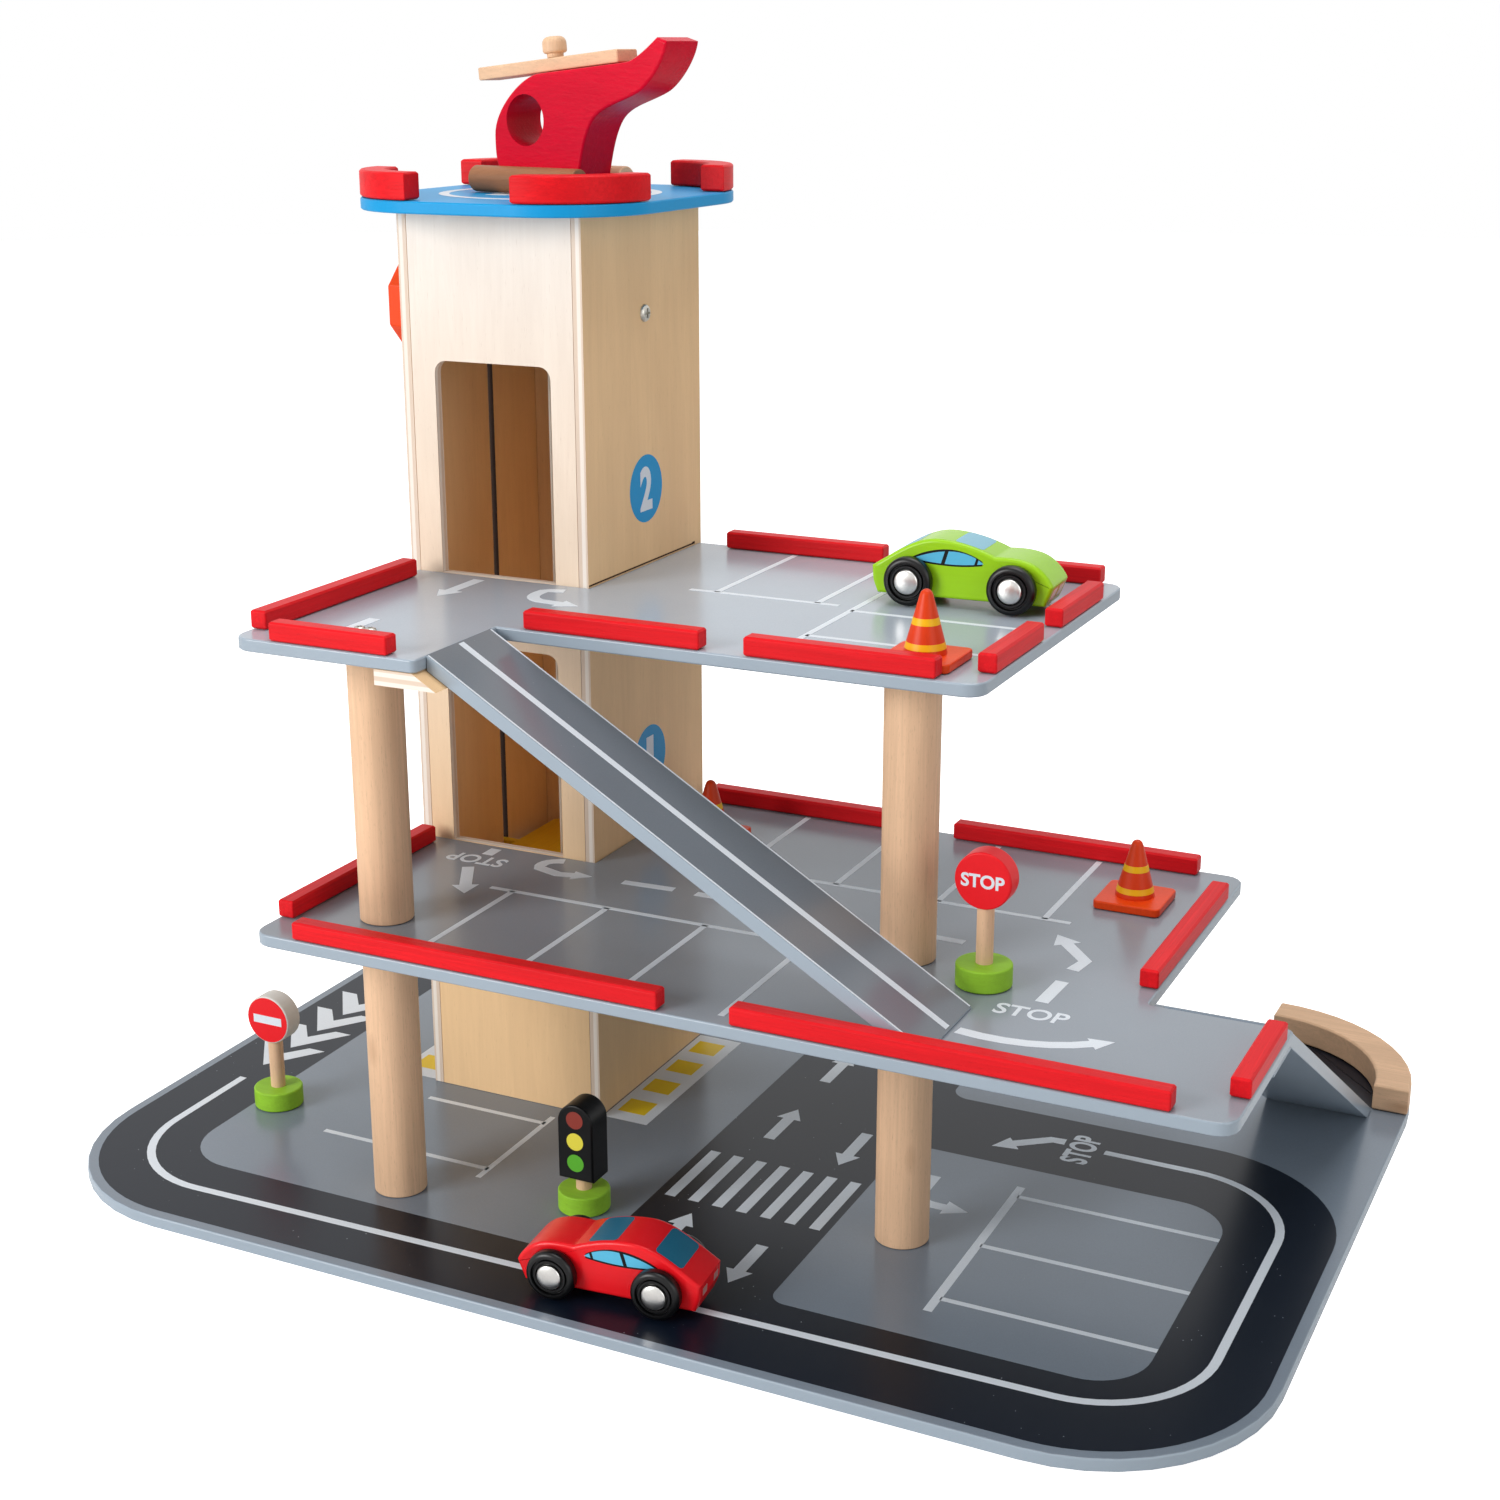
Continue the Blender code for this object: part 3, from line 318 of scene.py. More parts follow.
def birch_plywood(name, edge_axis, light, warm_and_shade=None, slot=None):
    # Clear lacquered birch plywood: cream face with pale vertical figure. Its cut edges face across the
    # wall and show the plies as faint lines. The front wall is painted warmer towards its foot, from 0.42 m
    # down to 0.1 m high, as warm shade and reflected light, and the sides of the laser cut slot are painted
    # dark brown as the shade inside the slot.
    def paint(tree):
        place = add(tree, "ShaderNodeTexCoord")
        spot = add(tree, "ShaderNodeSeparateXYZ", {0: place.outputs["Object"]}).outputs
        normal = add(tree, "ShaderNodeSeparateXYZ", {0: place.outputs["Normal"]}).outputs
        figure = noise(tree, stretched(tree, "Z", 4, 70), 0.3, 0.7, 4.0, 1.2)
        broad = noise(tree, stretched(tree, "Z", 24, 110), 0.32, 0.68, 2.0, 0.8)
        pores = noise(tree, stretched(tree, "Z", 0.5, 7), 0.64, 0.75, 2.0)
        veneer_and_shade = light
        # The front wall is painted warmer from 0.42 m down to 0.1 m high as warm shade and reflected light.
        if warm_and_shade:
            veneer_and_shade = mixed(tree, ranged(tree, spot["Z"], 0.42, 0.1), light, warm_and_shade)
        dark = mixed(tree, 0.22, veneer_and_shade, linear("8a5c34"))
        face = mixed(tree, scaled(tree, broad, 0.45), veneer_and_shade, dark)
        face = mixed(tree, scaled(tree, figure, 0.4), face, dark)
        face = mixed(tree, scaled(tree, pores, 0.25), face, linear("8a5c34"))
        ply = maths(tree, "PINGPONG", spot[edge_axis], 2 * MM)
        layer = ranged(tree, ply, 0.8 * MM, 1.2 * MM)
        edge = mixed(tree, scaled(tree, layer, 0.4), colours().birch, linear("b98a58"))
        # The sides of the slot are painted dark brown as the shade inside it.
        if slot is not None:
            near = maths(tree, "COMPARE", spot["Y"], slot, 5 * MM)
            edge = mixed(tree, near, edge, colours().gap_shade_brown)
        is_face = maths(tree, "GREATER_THAN", maths(tree, "ABSOLUTE", normal[edge_axis]), 0.7)
        return {"Base Color": mixed(tree, is_face, edge, face), "Normal": bumped(tree, figure, 0.03)}

    return material(f"{name}_birch_plywood", paint, roughness=0.5, specular_ior_level=0.25)


def dusted(tree, base, share):
    """A colour with pale specks of dust 0.5 mm across, at most one to every 5 mm, gathered in drifts."""
    specks = add(tree, "ShaderNodeTexVoronoi", {"Vector": even(tree, 5), "Scale": 1.0})
    near = maths(tree, "LESS_THAN", specks.outputs["Distance"], 0.05)
    seen = maths(tree, "MULTIPLY", near, noise(tree, even(tree, 30), 0.5, 0.6))
    return mixed(tree, scaled(tree, seen, share), base, linear("b9c0c6"))


def grey_print(name="deck", printed_grey=None):
    # Screen printed grey over fibreboard, its edges rolled with grey blue: satin, with fine dots of ink.
    grey = printed_grey or colours().grey_top

    def paint(tree):
        dots = noise(tree, even(tree, 0.7), 0.25, 0.75, 2.0)
        broad = noise(tree, even(tree, 60), 0.3, 0.7, 2.0)
        top = mixed(tree, scaled(tree, dots, 0.5), grey, shaded(grey, 0.84))
        top = mixed(tree, scaled(tree, broad, 0.3), top, shaded(grey, 1.12))
        place = add(tree, "ShaderNodeTexCoord")
        normal = add(tree, "ShaderNodeSeparateXYZ", {0: place.outputs["Normal"]})
        up = ranged(tree, normal.outputs["Z"], 0.72, 0.84)
        edge = mixed(tree, scaled(tree, broad, 0.4), colours().grey_edge, shaded(colours().grey_edge, 0.88))
        base = mixed(tree, up, edge, dusted(tree, top, 0.25))
        return {"Base Color": base, "Normal": bumped(tree, dots, 0.006)}

    return material(f"{name}_grey_printed_fibreboard", paint, roughness=0.22, specular_ior_level=0.5)


def ink(name, value, roughness=0.4, dust=0.0):
    # One screen printed ink on the boards: flat colour broken by fine dots, duller than the paint below.
    def paint(tree):
        dots = noise(tree, even(tree, 0.6), 0.25, 0.75, 2.0)
        broken = mixed(tree, scaled(tree, dots, 0.6), value, shaded(value, 0.86))
        if dust:
            broken = dusted(tree, broken, dust)
        return {"Base Color": broken, "Normal": bumped(tree, dots, 0.008)}

    return material(f"{name}_screen_ink", paint, roughness=roughness, specular_ior_level=0.25)


def asphalt_ink():
    return ink("asphalt", colours().asphalt, 0.3, 0.8)


def white_ink():
    return ink("white", colours().white_ink)


def satin_paint(name, value, roughness=0.4):
    # Sprayed satin paint on fibreboard or a small block: even colour with a faint orange peel.
    def paint(tree):
        peel = noise(tree, even(tree, 1.6), 0.2, 0.8, 2.0)
        base = mixed(tree, scaled(tree, peel, 0.5), value, shaded(value, 0.9))
        return {"Base Color": base, "Normal": bumped(tree, peel, 0.015)}

    return material(f"{name}_satin_paint", paint, roughness=roughness, specular_ior_level=0.22)


def tyre_plastic():
    # Moulded black thermoplastic rubber: near black, with a soft shine on the shoulders.
    def paint(tree):
        skin = noise(tree, even(tree, 0.35), 0.2, 0.8, 2.0)
        tone = mixed(tree, scaled(tree, skin, 0.5), linear("060607"), linear("0c0c0e"))
        return {"Base Color": tone, "Normal": bumped(tree, skin, 0.01)}

    return material("moulded_black_tyre", paint, roughness=0.3, specular_ior_level=0.35)


def steel(name, code, roughness):
    # Plated pressed steel, nickel or zinc: pale, mirror like, broken by shallow dimples from the press.
    def paint(tree):
        dimples = noise(tree, even(tree, 0.8), 0.2, 0.8, 2.0)
        tone = mixed(tree, scaled(tree, dimples, 0.5), linear(code), shaded(linear(code), 0.8))
        return {"Base Color": tone, "Normal": bumped(tree, dimples, 0.02)}

    return material(name, paint, metallic=1.0, roughness=roughness)


def cotton():
    # Twisted cotton cord, undyed: off white and matt, each strand fuzzy.
    def paint(tree):
        fuzz = noise(tree, stretched(tree, "Z", 0.15, 0.6), 0.2, 0.8)
        tone = mixed(tree, fuzz, linear("eeeae1"), linear("cfc8ba"))
        return {"Base Color": tone, "Normal": bumped(tree, fuzz, 0.03)}

    return material("twisted_cotton", paint, roughness=0.9)


def centre(node):
    low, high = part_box(node)
    return (low + high) / 2


def eased(thing):
    """Keeps flat faces flat and rolls the shading over their eased rims."""
    modifier = thing.modifiers.new("Face shading", "WEIGHTED_NORMAL")
    modifier.keep_sharp = True
    modifier.weight = 80
    return thing


def publish(name, mesh, finish, like, stands_for=True, smooth=40, easing=True, rides=True):
    """A finished piece that rides on a CAD node's body and, unless it only lies on it, stands for it."""
    mesh.materials.clear()
    mesh.materials.append(finish)
    mesh.shade_smooth()
    mesh.set_sharp_from_angle(angle=math.radians(smooth))
    thing = bpy.data.objects.new(name, mesh)
    bpy.context.scene.collection.objects.link(thing)
    if easing:
        eased(thing)
    if rides:
        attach(thing, BODY_OF[like])
    if stands_for:
        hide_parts(like)
    return thing


def laid(name, mesh, finish, like, smooth=40):
    """A print, a patch of paint or a small fitting that lies on a piece."""
    return publish(name, mesh, finish, like, stands_for=False, smooth=smooth, easing=False)


def standing(node):
    """Where a CAD piece stands, with its half width and its height in millimetres."""
    low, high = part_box(node)
    middle = (low + high) / 2
    place = Matrix.Translation((middle.x, middle.y, low.z))
    return place, (high.x - low.x) / 2 / MM, (high.z - low.z) / MM


def mesh_of(name, shape, place=None):
    """A mesh from a bmesh, with its faces turned outwards and its place applied."""
    bmesh.ops.recalc_face_normals(shape, faces=shape.faces)
    mesh = bpy.data.meshes.new(name)
    shape.to_mesh(mesh)
    shape.free()
    if place:
        mesh.transform(place)
    return mesh


def dressed(node, finish, edge=0.0):
    """A copy of a CAD piece with its loose triangles merged and its rims eased, which stands for it."""
    shape = bmesh.new()
    shape.from_mesh(frame["nodes"][node].data)
    bmesh.ops.remove_doubles(shape, verts=shape.verts, dist=0.002 * MM)
    bmesh.ops.dissolve_limit(shape, angle_limit=math.radians(0.5), verts=shape.verts, edges=shape.edges)
    thing = publish(f"{node}_finished", mesh_of(node, shape), finish, node, easing=not edge)
    if edge:
        rim = thing.modifiers.new("Eased rims", "BEVEL")
        rim.width = edge * MM
        rim.segments = 2
        rim.limit_method = "ANGLE"
        rim.angle_limit = math.radians(25)
        eased(thing)
    return thing


def rounded(corners, steps=10):
    """Points round a polygon or along a line whose corners, given as (x, y, radius), turn into arcs."""
    points = []
    for index, (x, y, radius) in enumerate(corners):
        corner = Vector((x, y))
        if radius == 0:
            points.append(corner)
            continue
        following = corners[(index + 1) % len(corners)]
        before = (Vector(corners[index - 1][:2]) - corner).normalized()
        after = (Vector(following[:2]) - corner).normalized()
        half = before.angle(after) / 2
        middle = corner + (before + after).normalized() * radius / math.sin(half)
        start = corner + before * radius / math.tan(half) - middle
        turn = math.pi - 2 * half
        if before.cross(after) > 0:
            turn = -turn
        for step in range(steps + 1):
            points.append(middle + Matrix.Rotation(turn * step / steps, 2) @ start)
    return points


def box_outline(left, front, right, back, radius=0.0, steps=10):
    corners = ((left, front), (right, front), (right, back), (left, back))
    return rounded([(*corner, radius) for corner in corners], steps)


def disc(radius, steps=48, height=0.0):
    turns = [math.tau * i / steps for i in range(steps)]
    return [Vector((radius * math.cos(turn), height + radius * math.sin(turn))) for turn in turns]


def smooth_outline(anchors, steps, straights=False):
    """Points along Bezier curves: each anchor is a point with its handles' directions, in degrees, and
    their reaches. Points along the straight stretches are given only when asked for."""
    points = []
    pairs = zip(anchors, anchors[1:] + anchors[:1])
    for (point, heading, reach), (following, next_heading, next_reach) in pairs:
        leaving, arriving = math.radians(heading[1]), math.radians(next_heading[0])
        out = Vector((math.cos(leaving), math.sin(leaving))) * reach[1]
        back = Vector((math.cos(arriving), math.sin(arriving))) * next_reach[0]
        start, end = Vector(point), Vector(following)
        if reach[1] == 0 and next_reach[0] == 0 and not straights:
            points.append(start)
            continue
        points.extend(interpolate_bezier(start, start + out, end - back, end, steps + 1)[:-1])
    return points


AXIS_FRAMES = {
    "X": Matrix(((0, 0, 1, 0), (1, 0, 0, 0), (0, 1, 0, 0), (0, 0, 0, 1))),
    "Y": Matrix(((1, 0, 0, 0), (0, 0, 1, 0), (0, 1, 0, 0), (0, 0, 0, 1))),
    "Z": Matrix.Identity(4),
}


def slab(outline, low, high, edge=0.0, segments=4, axis="Z"):
    """An outline in millimetres, drawn out from low to high across its plane, with rims rounded by edge."""
    shape = bmesh.new()
    face = shape.faces.new([shape.verts.new((x * MM, y * MM, low * MM)) for x, y in outline])
    drawn = bmesh.ops.extrude_face_region(shape, geom=[face])["geom"]
    top = [item for item in drawn if isinstance(item, bmesh.types.BMVert)]
    bmesh.ops.translate(shape, verts=top, vec=(0, 0, (high - low) * MM))
    if edge:
        rims = [line for line in shape.edges if line.verts[0].co.z == line.verts[1].co.z]
        bmesh.ops.bevel(shape, geom=rims, offset=edge * MM, segments=segments, profile=0.5, affect="EDGES")
    bmesh.ops.transform(shape, matrix=AXIS_FRAMES[axis], verts=shape.verts)
    return shape


def turned(profile, steps=48, axis="Z"):
    """A lathe piece in millimetres: (radius, height) points spun round an axis, the ends on it or joined."""
    shape = bmesh.new()
    points = [shape.verts.new((radius * MM, 0, height * MM)) for radius, height in profile]
    lines = [shape.edges.new(pair) for pair in zip(points, points[1:])]
    if profile[0][0] > 0:
        lines.append(shape.edges.new((points[-1], points[0])))
    drawn = {"geom": points + lines, "cent": (0, 0, 0), "axis": (0, 0, 1), "angle": math.tau}
    bmesh.ops.spin(shape, steps=steps, **drawn)
    bmesh.ops.remove_doubles(shape, verts=shape.verts, dist=0.002 * MM)
    bmesh.ops.transform(shape, matrix=AXIS_FRAMES[axis], verts=shape.verts)
    return shape


def soft_corner(x, y, radius, start, end, steps=4):
    """Points of a rounded corner in a turned profile, between two angles in degrees."""
    angles = [math.radians(start + (end - start) * i / steps) for i in range(steps + 1)]
    return [(x + radius * math.cos(a), y + radius * math.sin(a)) for a in angles]


def rod(radius, low, high, round_end, steps=48, axis="Z"):
    """A dowel with rounded ends."""
    inner = radius - round_end
    profile = [(0, low), *soft_corner(inner, low + round_end, round_end, -90, 0)]
    profile += [*soft_corner(inner, high - round_end, round_end, 0, 90), (0, high)]
    return turned(profile, steps, axis)


def cut_with(thing, cutters):
    """Cuts closed shapes out of a piece and drops them."""
    for cutter in cutters:
        modifier = thing.modifiers.new("Cut", "BOOLEAN")
        modifier.operation = "DIFFERENCE"
        modifier.object = cutter
    applied(thing)
    for cutter in cutters:
        bpy.data.objects.remove(cutter)


def carve(thing, cutters, place):
    """Cuts into a piece that was shaped at the origin and moves its mesh to where it belongs."""
    thing.modifiers.clear()
    cut_with(thing, cutters)
    thing.data.transform(place)
    eased(thing)


def applied(thing):
    """Turns what the modifiers make into the object's own plain mesh."""
    graph = bpy.context.evaluated_depsgraph_get()
    mesh = bpy.data.meshes.new_from_object(thing.evaluated_get(graph))
    thing.modifiers.clear()
    thing.data = mesh
    return mesh


def helper(name, mesh):
    thing = bpy.data.objects.new(name, mesh)
    bpy.context.scene.collection.objects.link(thing)
    return thing


def copying_tree(name, **inputs):
    """A new Geometry Nodes tree with its named inputs, and what they give."""
    tree = bpy.data.node_groups.new(name, "GeometryNodeTree")
    for label, kind in inputs.items():
        tree.interface.new_socket(label, in_out="INPUT", socket_type=f"NodeSocket{kind}")
    tree.interface.new_socket("Copies", in_out="OUTPUT", socket_type="NodeSocketGeometry")
    return tree, add(tree, "NodeGroupInput").outputs


def copied(tree, finish, points, **instance):
    """Ends a tree: copies on points, made real and given their finish."""
    copies = add(tree, "GeometryNodeInstanceOnPoints", {"Points": points, **instance})
    real = add(tree, "GeometryNodeRealizeInstances", {0: copies})
    painted = add(tree, "GeometryNodeSetMaterial", {"Geometry": real, "Material": finish})
    add(tree, "NodeGroupOutput", {0: painted})
    return tree


def row_tree():
    """Geometry Nodes that repeat an object's own shape along a straight row."""
    known = bpy.data.node_groups.get("Row of copies")
    if known:
        return known
    inputs = {"Shape": "Geometry", "Count": "Int", "Step": "Vector", "Finish": "Material"}
    tree, given = copying_tree("Row of copies", **inputs)
    step = {"Count": given["Count"], "Offset": given["Step"]}
    line = add(tree, "GeometryNodeMeshLine", step, mode="OFFSET")
    return copied(tree, given["Finish"], line, Instance=given["Shape"])


def cord_tree():
    """Geometry Nodes that twist strands into a cord hanging down from the origin."""
    inputs = {label: "Float" for label in ("Length", "Turns", "Lay", "Strand")}
    tree, given = copying_tree("Twisted cord", **inputs, Strands="Int", Finish="Material")
    drop = maths(tree, "MULTIPLY", given["Length"], -1.0)
    helix = {"Resolution": 10, "Rotations": given["Turns"], "Height": drop}
    helix.update({"Start Radius": given["Lay"], "End Radius": given["Lay"]})
    spiral = add(tree, "GeometryNodeCurveSpiral", helix)
    section = add(tree, "GeometryNodeCurvePrimitiveCircle", {"Resolution": 7, "Radius": given["Strand"]})
    tube = {"Curve": spiral, "Profile Curve": section, "Fill Caps": True}
    strand = add(tree, "GeometryNodeCurveToMesh", tube)
    starts = add(tree, "GeometryNodeMeshLine", {"Count": given["Strands"], "Offset": (0, 0, 0)})
    share = maths(tree, "DIVIDE", add(tree, "GeometryNodeInputIndex"), given["Strands"])
    turn = add(tree, "ShaderNodeCombineXYZ", {"Z": maths(tree, "MULTIPLY", share, math.tau)})
    return copied(tree, given["Finish"], starts, Instance=strand, Rotation=turn)


def grown(thing, tree, **values):
    """Runs a tree on an object with named values and keeps the plain mesh that it makes."""
    modifier = thing.modifiers.new(tree.name, "NODES")
    modifier.node_group = tree
    for item in tree.interface.items_tree:
        if item.in_out == "INPUT" and item.name in values:
            modifier[item.identifier] = values[item.name]
    return applied(thing)


def row_of(name, shape, count, step, finish, like, place=None):
    """A shape repeated in a row, lying on the piece that it is like. The step is in millimetres."""
    thing = helper(name, mesh_of(name, shape))
    mesh = grown(thing, row_tree(), Count=count, Step=[value * MM for value in step], Finish=finish)
    bpy.data.objects.remove(thing)
    if place:
        mesh.transform(place)
    return laid(name, mesh, finish, like)


def face_frame(origin, right, up):
    """The plane of a face: where its origin is, and which ways its drawing's right and up point."""
    right, up = Vector(right).normalized(), Vector(up).normalized()
    turn = Matrix((right, up, right.cross(up))).transposed().to_4x4()
    return Matrix.Translation(origin) @ turn


def flat_shapes(outlines, layer):
    """Closed outlines in millimetres as thin plates of ink. A later layer is thicker, so it covers."""
    shape = bmesh.new()
    for outline in outlines:
        shape.faces.new([shape.verts.new((x * MM, y * MM, 0)) for x, y in outline])
    return inked(shape, layer)


def inked(shape, layer):
    """Thickens flat faces into ink that starts a hair above the surface."""
    drawn = bmesh.ops.extrude_face_region(shape, geom=shape.faces[:])["geom"]
    top = [item for item in drawn if isinstance(item, bmesh.types.BMVert)]
    bmesh.ops.translate(shape, verts=shape.verts, vec=(0, 0, 0.01 * MM))
    bmesh.ops.translate(shape, verts=top, vec=(0, 0, sizes().ink * (layer + 1)))
    return shape


def printed(name, outlines, layer, finish, like, place):
    return laid(name, mesh_of(name, flat_shapes(outlines, layer), place), finish, like, 30)


def stroke(points, width):
    """The outline of a line of even width along points, with square ends."""
    points = [Vector(point) for point in points]
    left, right = [], []
    for index, point in enumerate(points):
        before, after = points[max(index - 1, 0)], points[min(index + 1, len(points) - 1)]
        way = (after - before).normalized()
        side = Vector((-way.y, way.x)) * width / 2
        left.append(point + side)
        right.append(point - side)
    return left + right[::-1]


def arrow(points, head=None):
    """The outline of an arrow along points, its head at the last one."""
    points = [Vector(point) for point in points]
    stem, wide = sizes().arrow_stem / MM, (head or sizes().arrow_head / MM)
    tip, way = points[-1], (points[-1] - points[-2]).normalized()
    neck = tip - way * wide * 0.9
    side = Vector((-way.y, way.x)) * wide / 2
    sides = stroke([*points[:-1], neck], stem)
    half = len(sides) // 2
    return [*sides[:half], neck + side, tip, neck - side, *sides[half:]]


def bent(start, bend, end, steps=8):
    """Points of one smooth bend."""
    start, bend, end = Vector(start), Vector(bend), Vector(end)
    third = 2 / 3
    return interpolate_bezier(start, start.lerp(bend, third), end.lerp(bend, third), end, steps)


def lettering(text, width, height, boldness=0.018):
    """Flat letters of a plain face, centred on the origin, their width and height in millimetres."""
    line = bpy.data.curves.new(text, "FONT")
    line.body = text
    line.offset = boldness
    line.resolution_u = 6
    thing = helper(text, line)
    graph = bpy.context.evaluated_depsgraph_get()
    mesh = bpy.data.meshes.new_from_object(thing.evaluated_get(graph))
    bpy.data.objects.remove(thing)
    shape = bmesh.new()
    shape.from_mesh(mesh)
    bmesh.ops.remove_doubles(shape, verts=shape.verts, dist=0.00001)
    low = Vector([min(vert.co[i] for vert in shape.verts) for i in range(3)])
    high = Vector([max(vert.co[i] for vert in shape.verts) for i in range(3)])
    middle, span = (low + high) / 2, high - low
    for vert in shape.verts:
        x, y, _ = vert.co - middle
        vert.co = Vector((x * width * MM / span.x, y * height * MM / span.y, 0))
    return shape


def lettered(name, text, width, height, layer, finish, like, place, boldness=0.018):
    shape = inked(lettering(text, width, height, boldness), layer)
    return laid(name, mesh_of(name, shape, place), finish, like, 30)


def board_top(node, turn=0):
    """The drawing plane on a level board: the part's own X and Y in millimetres, at its top's height."""
    return Matrix.Translation((0, 0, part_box(node)[1].z)) @ Matrix.Rotation(math.radians(turn), 4, "Z")


def at(node, x, y, turn=0):
    """A drawing plane on a board with its origin at a point in millimetres, turned by degrees."""
    return Matrix.Translation((x * MM, y * MM, 0)) @ board_top(node, turn)


class GARAGE_OT_boards(bpy.types.Operator):
    """Finish the base board, the decks, the ramps and the helicopter pad"""

    bl_idname = "garage.boards"
    bl_label = "Boards"

    def execute(self, context):
        dressed("base_board", grey_print("ground", colours().ground_grey), edge=0.2)
        # The middle deck's grey is darkened to 0.68 of the top grey as painted shade.
        dressed("middle_deck", grey_print("middle", shaded(colours().grey_top, 0.68)), edge=0.2)
        dressed("upper_deck", grey_print("upper"), edge=0.2)
        for node in ("upper_ramp", "exit_ramp"):
            dressed(node, grey_print("ramp", shaded(colours().grey_top, 0.42)))
        dressed("helipad", satin_paint("blue", colours().blue), edge=0.2)
        return {"FINISHED"}


class GARAGE_OT_ground_print(bpy.types.Operator):
    """Print the roads, bays and arrows on the base board"""

    bl_idname = "garage.ground_print"
    bl_label = "Ground print"

    def execute(self, context):
        board = "base_board"
        top = board_top(board)
        low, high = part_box(board)
        rim = 5.5
        left, right = low.x / MM + rim, high.x / MM - rim
        front, back = low.y / MM + rim, high.y / MM - rim
        # The lane runs round the board, and the road crosses it from front to back.
        lane, road = 49, (-11, 79)
        outer, wide = 79, 75
        behind, island_back, island_front = 59, -1, front + lane
        ramp_low, ramp_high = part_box("exit_ramp")
        roads = rounded(
            [
                (left, front, outer),
                (right, front, outer),
                (right, behind, wide),
                (road[1], behind, 10),
                (road[1], back - lane, 10),
                (ramp_low.x / MM - 3, back - lane, 10),
                (ramp_low.x / MM - 3, ramp_high.y / MM + 2, 0),
                (right, ramp_high.y / MM + 2, 0),
                (right, back, outer),
                (left, back, outer),
            ],
            16,
        )
        printed("ground_roads", [roads], 0, asphalt_ink(), board, top)
        corner = outer - lane
        left_island = rounded(
            [
                (left + lane, island_front, corner),
                (road[0], island_front, 8),
                (road[0], back - lane, corner),
                (left + lane, back - lane, corner),
            ]
        )
        right_island = rounded(
            [
                (road[1], island_front + 2, 8),
                (right - lane, island_front + 2, 26),
                (right - lane, island_back, 26),
                (road[1], island_back, 8),
            ]
        )
        islands = grey_print("ground", colours().ground_grey)
        printed("ground_islands", [left_island, right_island], 1, islands, board, top)

        half = lane / 2
        line = sizes().lane_line / MM
        route = rounded(
            [
                (left + half, -82, 0),
                (left + half, front + half, outer - half),
                (right - half, front + half + 11, outer - half),
                (right - half, (behind + island_back) / 2 + 2, 52),
                (171, (behind + island_back) / 2 + 3, 0),
            ],
            14,
        )
        printed("ground_lane_line", [stroke(route, line)], 2, white_ink(), board, top)

        bay = sizes().bay_line / MM
        runs = [[(-193, -114.5), (-96, -114.5)], [(-166, -60), (-96, -60)], [(-96, -124), (-96, -52)]]
        bars = [stroke(run, bay) for run in runs]
        bars.append(stroke([(145.5, -144), (145.5, -20)], bay * 1.4))
        printed("ground_bay_lines", bars, 2, white_ink(), board, top)
        shape = flat_shapes([stroke([(147, 0), (right - lane, 0)], bay)], 2)
        place = at(board, 0, -132)
        row_of("ground_bays_right", shape, 3, (0, 51.2, 0), white_ink(), board, place)

        shape = flat_shapes([box_outline(-2.75, -25, 2.75, 25)], 2)
        row_of("ground_crossing", shape, 7, (12.6, 0, 0), white_ink(), board, at(board, -3.5, -75))
        shape = flat_shapes([[(0, 0), (20, 28), (10, 28), (0, 15.5), (-10, 28), (-20, 28)]], 2)
        place = at(board, left + half, -65)
        row_of("ground_chevrons", shape, 4, (0, 24.4, 0), white_ink(), board, place)

        arrows = [
            arrow([(14, -147), (14, -111)]),
            arrow([(14, -26), (14, 10)]),
            arrow([(13, 46), (13, 82)]),
            arrow([(57, -124), (57, -160)]),
            arrow([(57, 0), (57, -37)]),
            arrow([(104, -27), *bent((104, -40), (104, -54), (113, -54.5)), (131, -54.5)]),
            arrow([(150, 34.5), (143, 34), (118, 15)]),
        ]
        printed("ground_arrows", arrows, 2, white_ink(), board, top)
        lettered("ground_stop", "STOP", 30, 14, 2, white_ink(), board, at(board, 159.5, 30, 90), 0.03)

        wall_low, wall_high = (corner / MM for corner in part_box("tower_right_wall"))
        tower_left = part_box("tower_left_wall")[0].x / MM
        strip, start, end = 25.5, wall_low.y + 2, wall_high.y - 6
        strips = [
            box_outline(wall_high.x + 0.5, start, wall_high.x + strip, end),
            box_outline(tower_left - strip, start, tower_left - 0.5, end),
        ]
        printed("loading_strips", strips, 2, white_ink(), board, top)
        to_left_strip = -100 - strip
        marks = [box_outline(4 + shift, 0, 19.5 + shift, 15) for shift in (0, to_left_strip)]
        yellow = ink("yellow", colours().yellow_ink)
        place = at(board, wall_high.x, start + 9)
        row_of("loading_marks", flat_shapes(marks, 3), 4, (0, 26.5, 0), yellow, board, place)
        return {"FINISHED"}


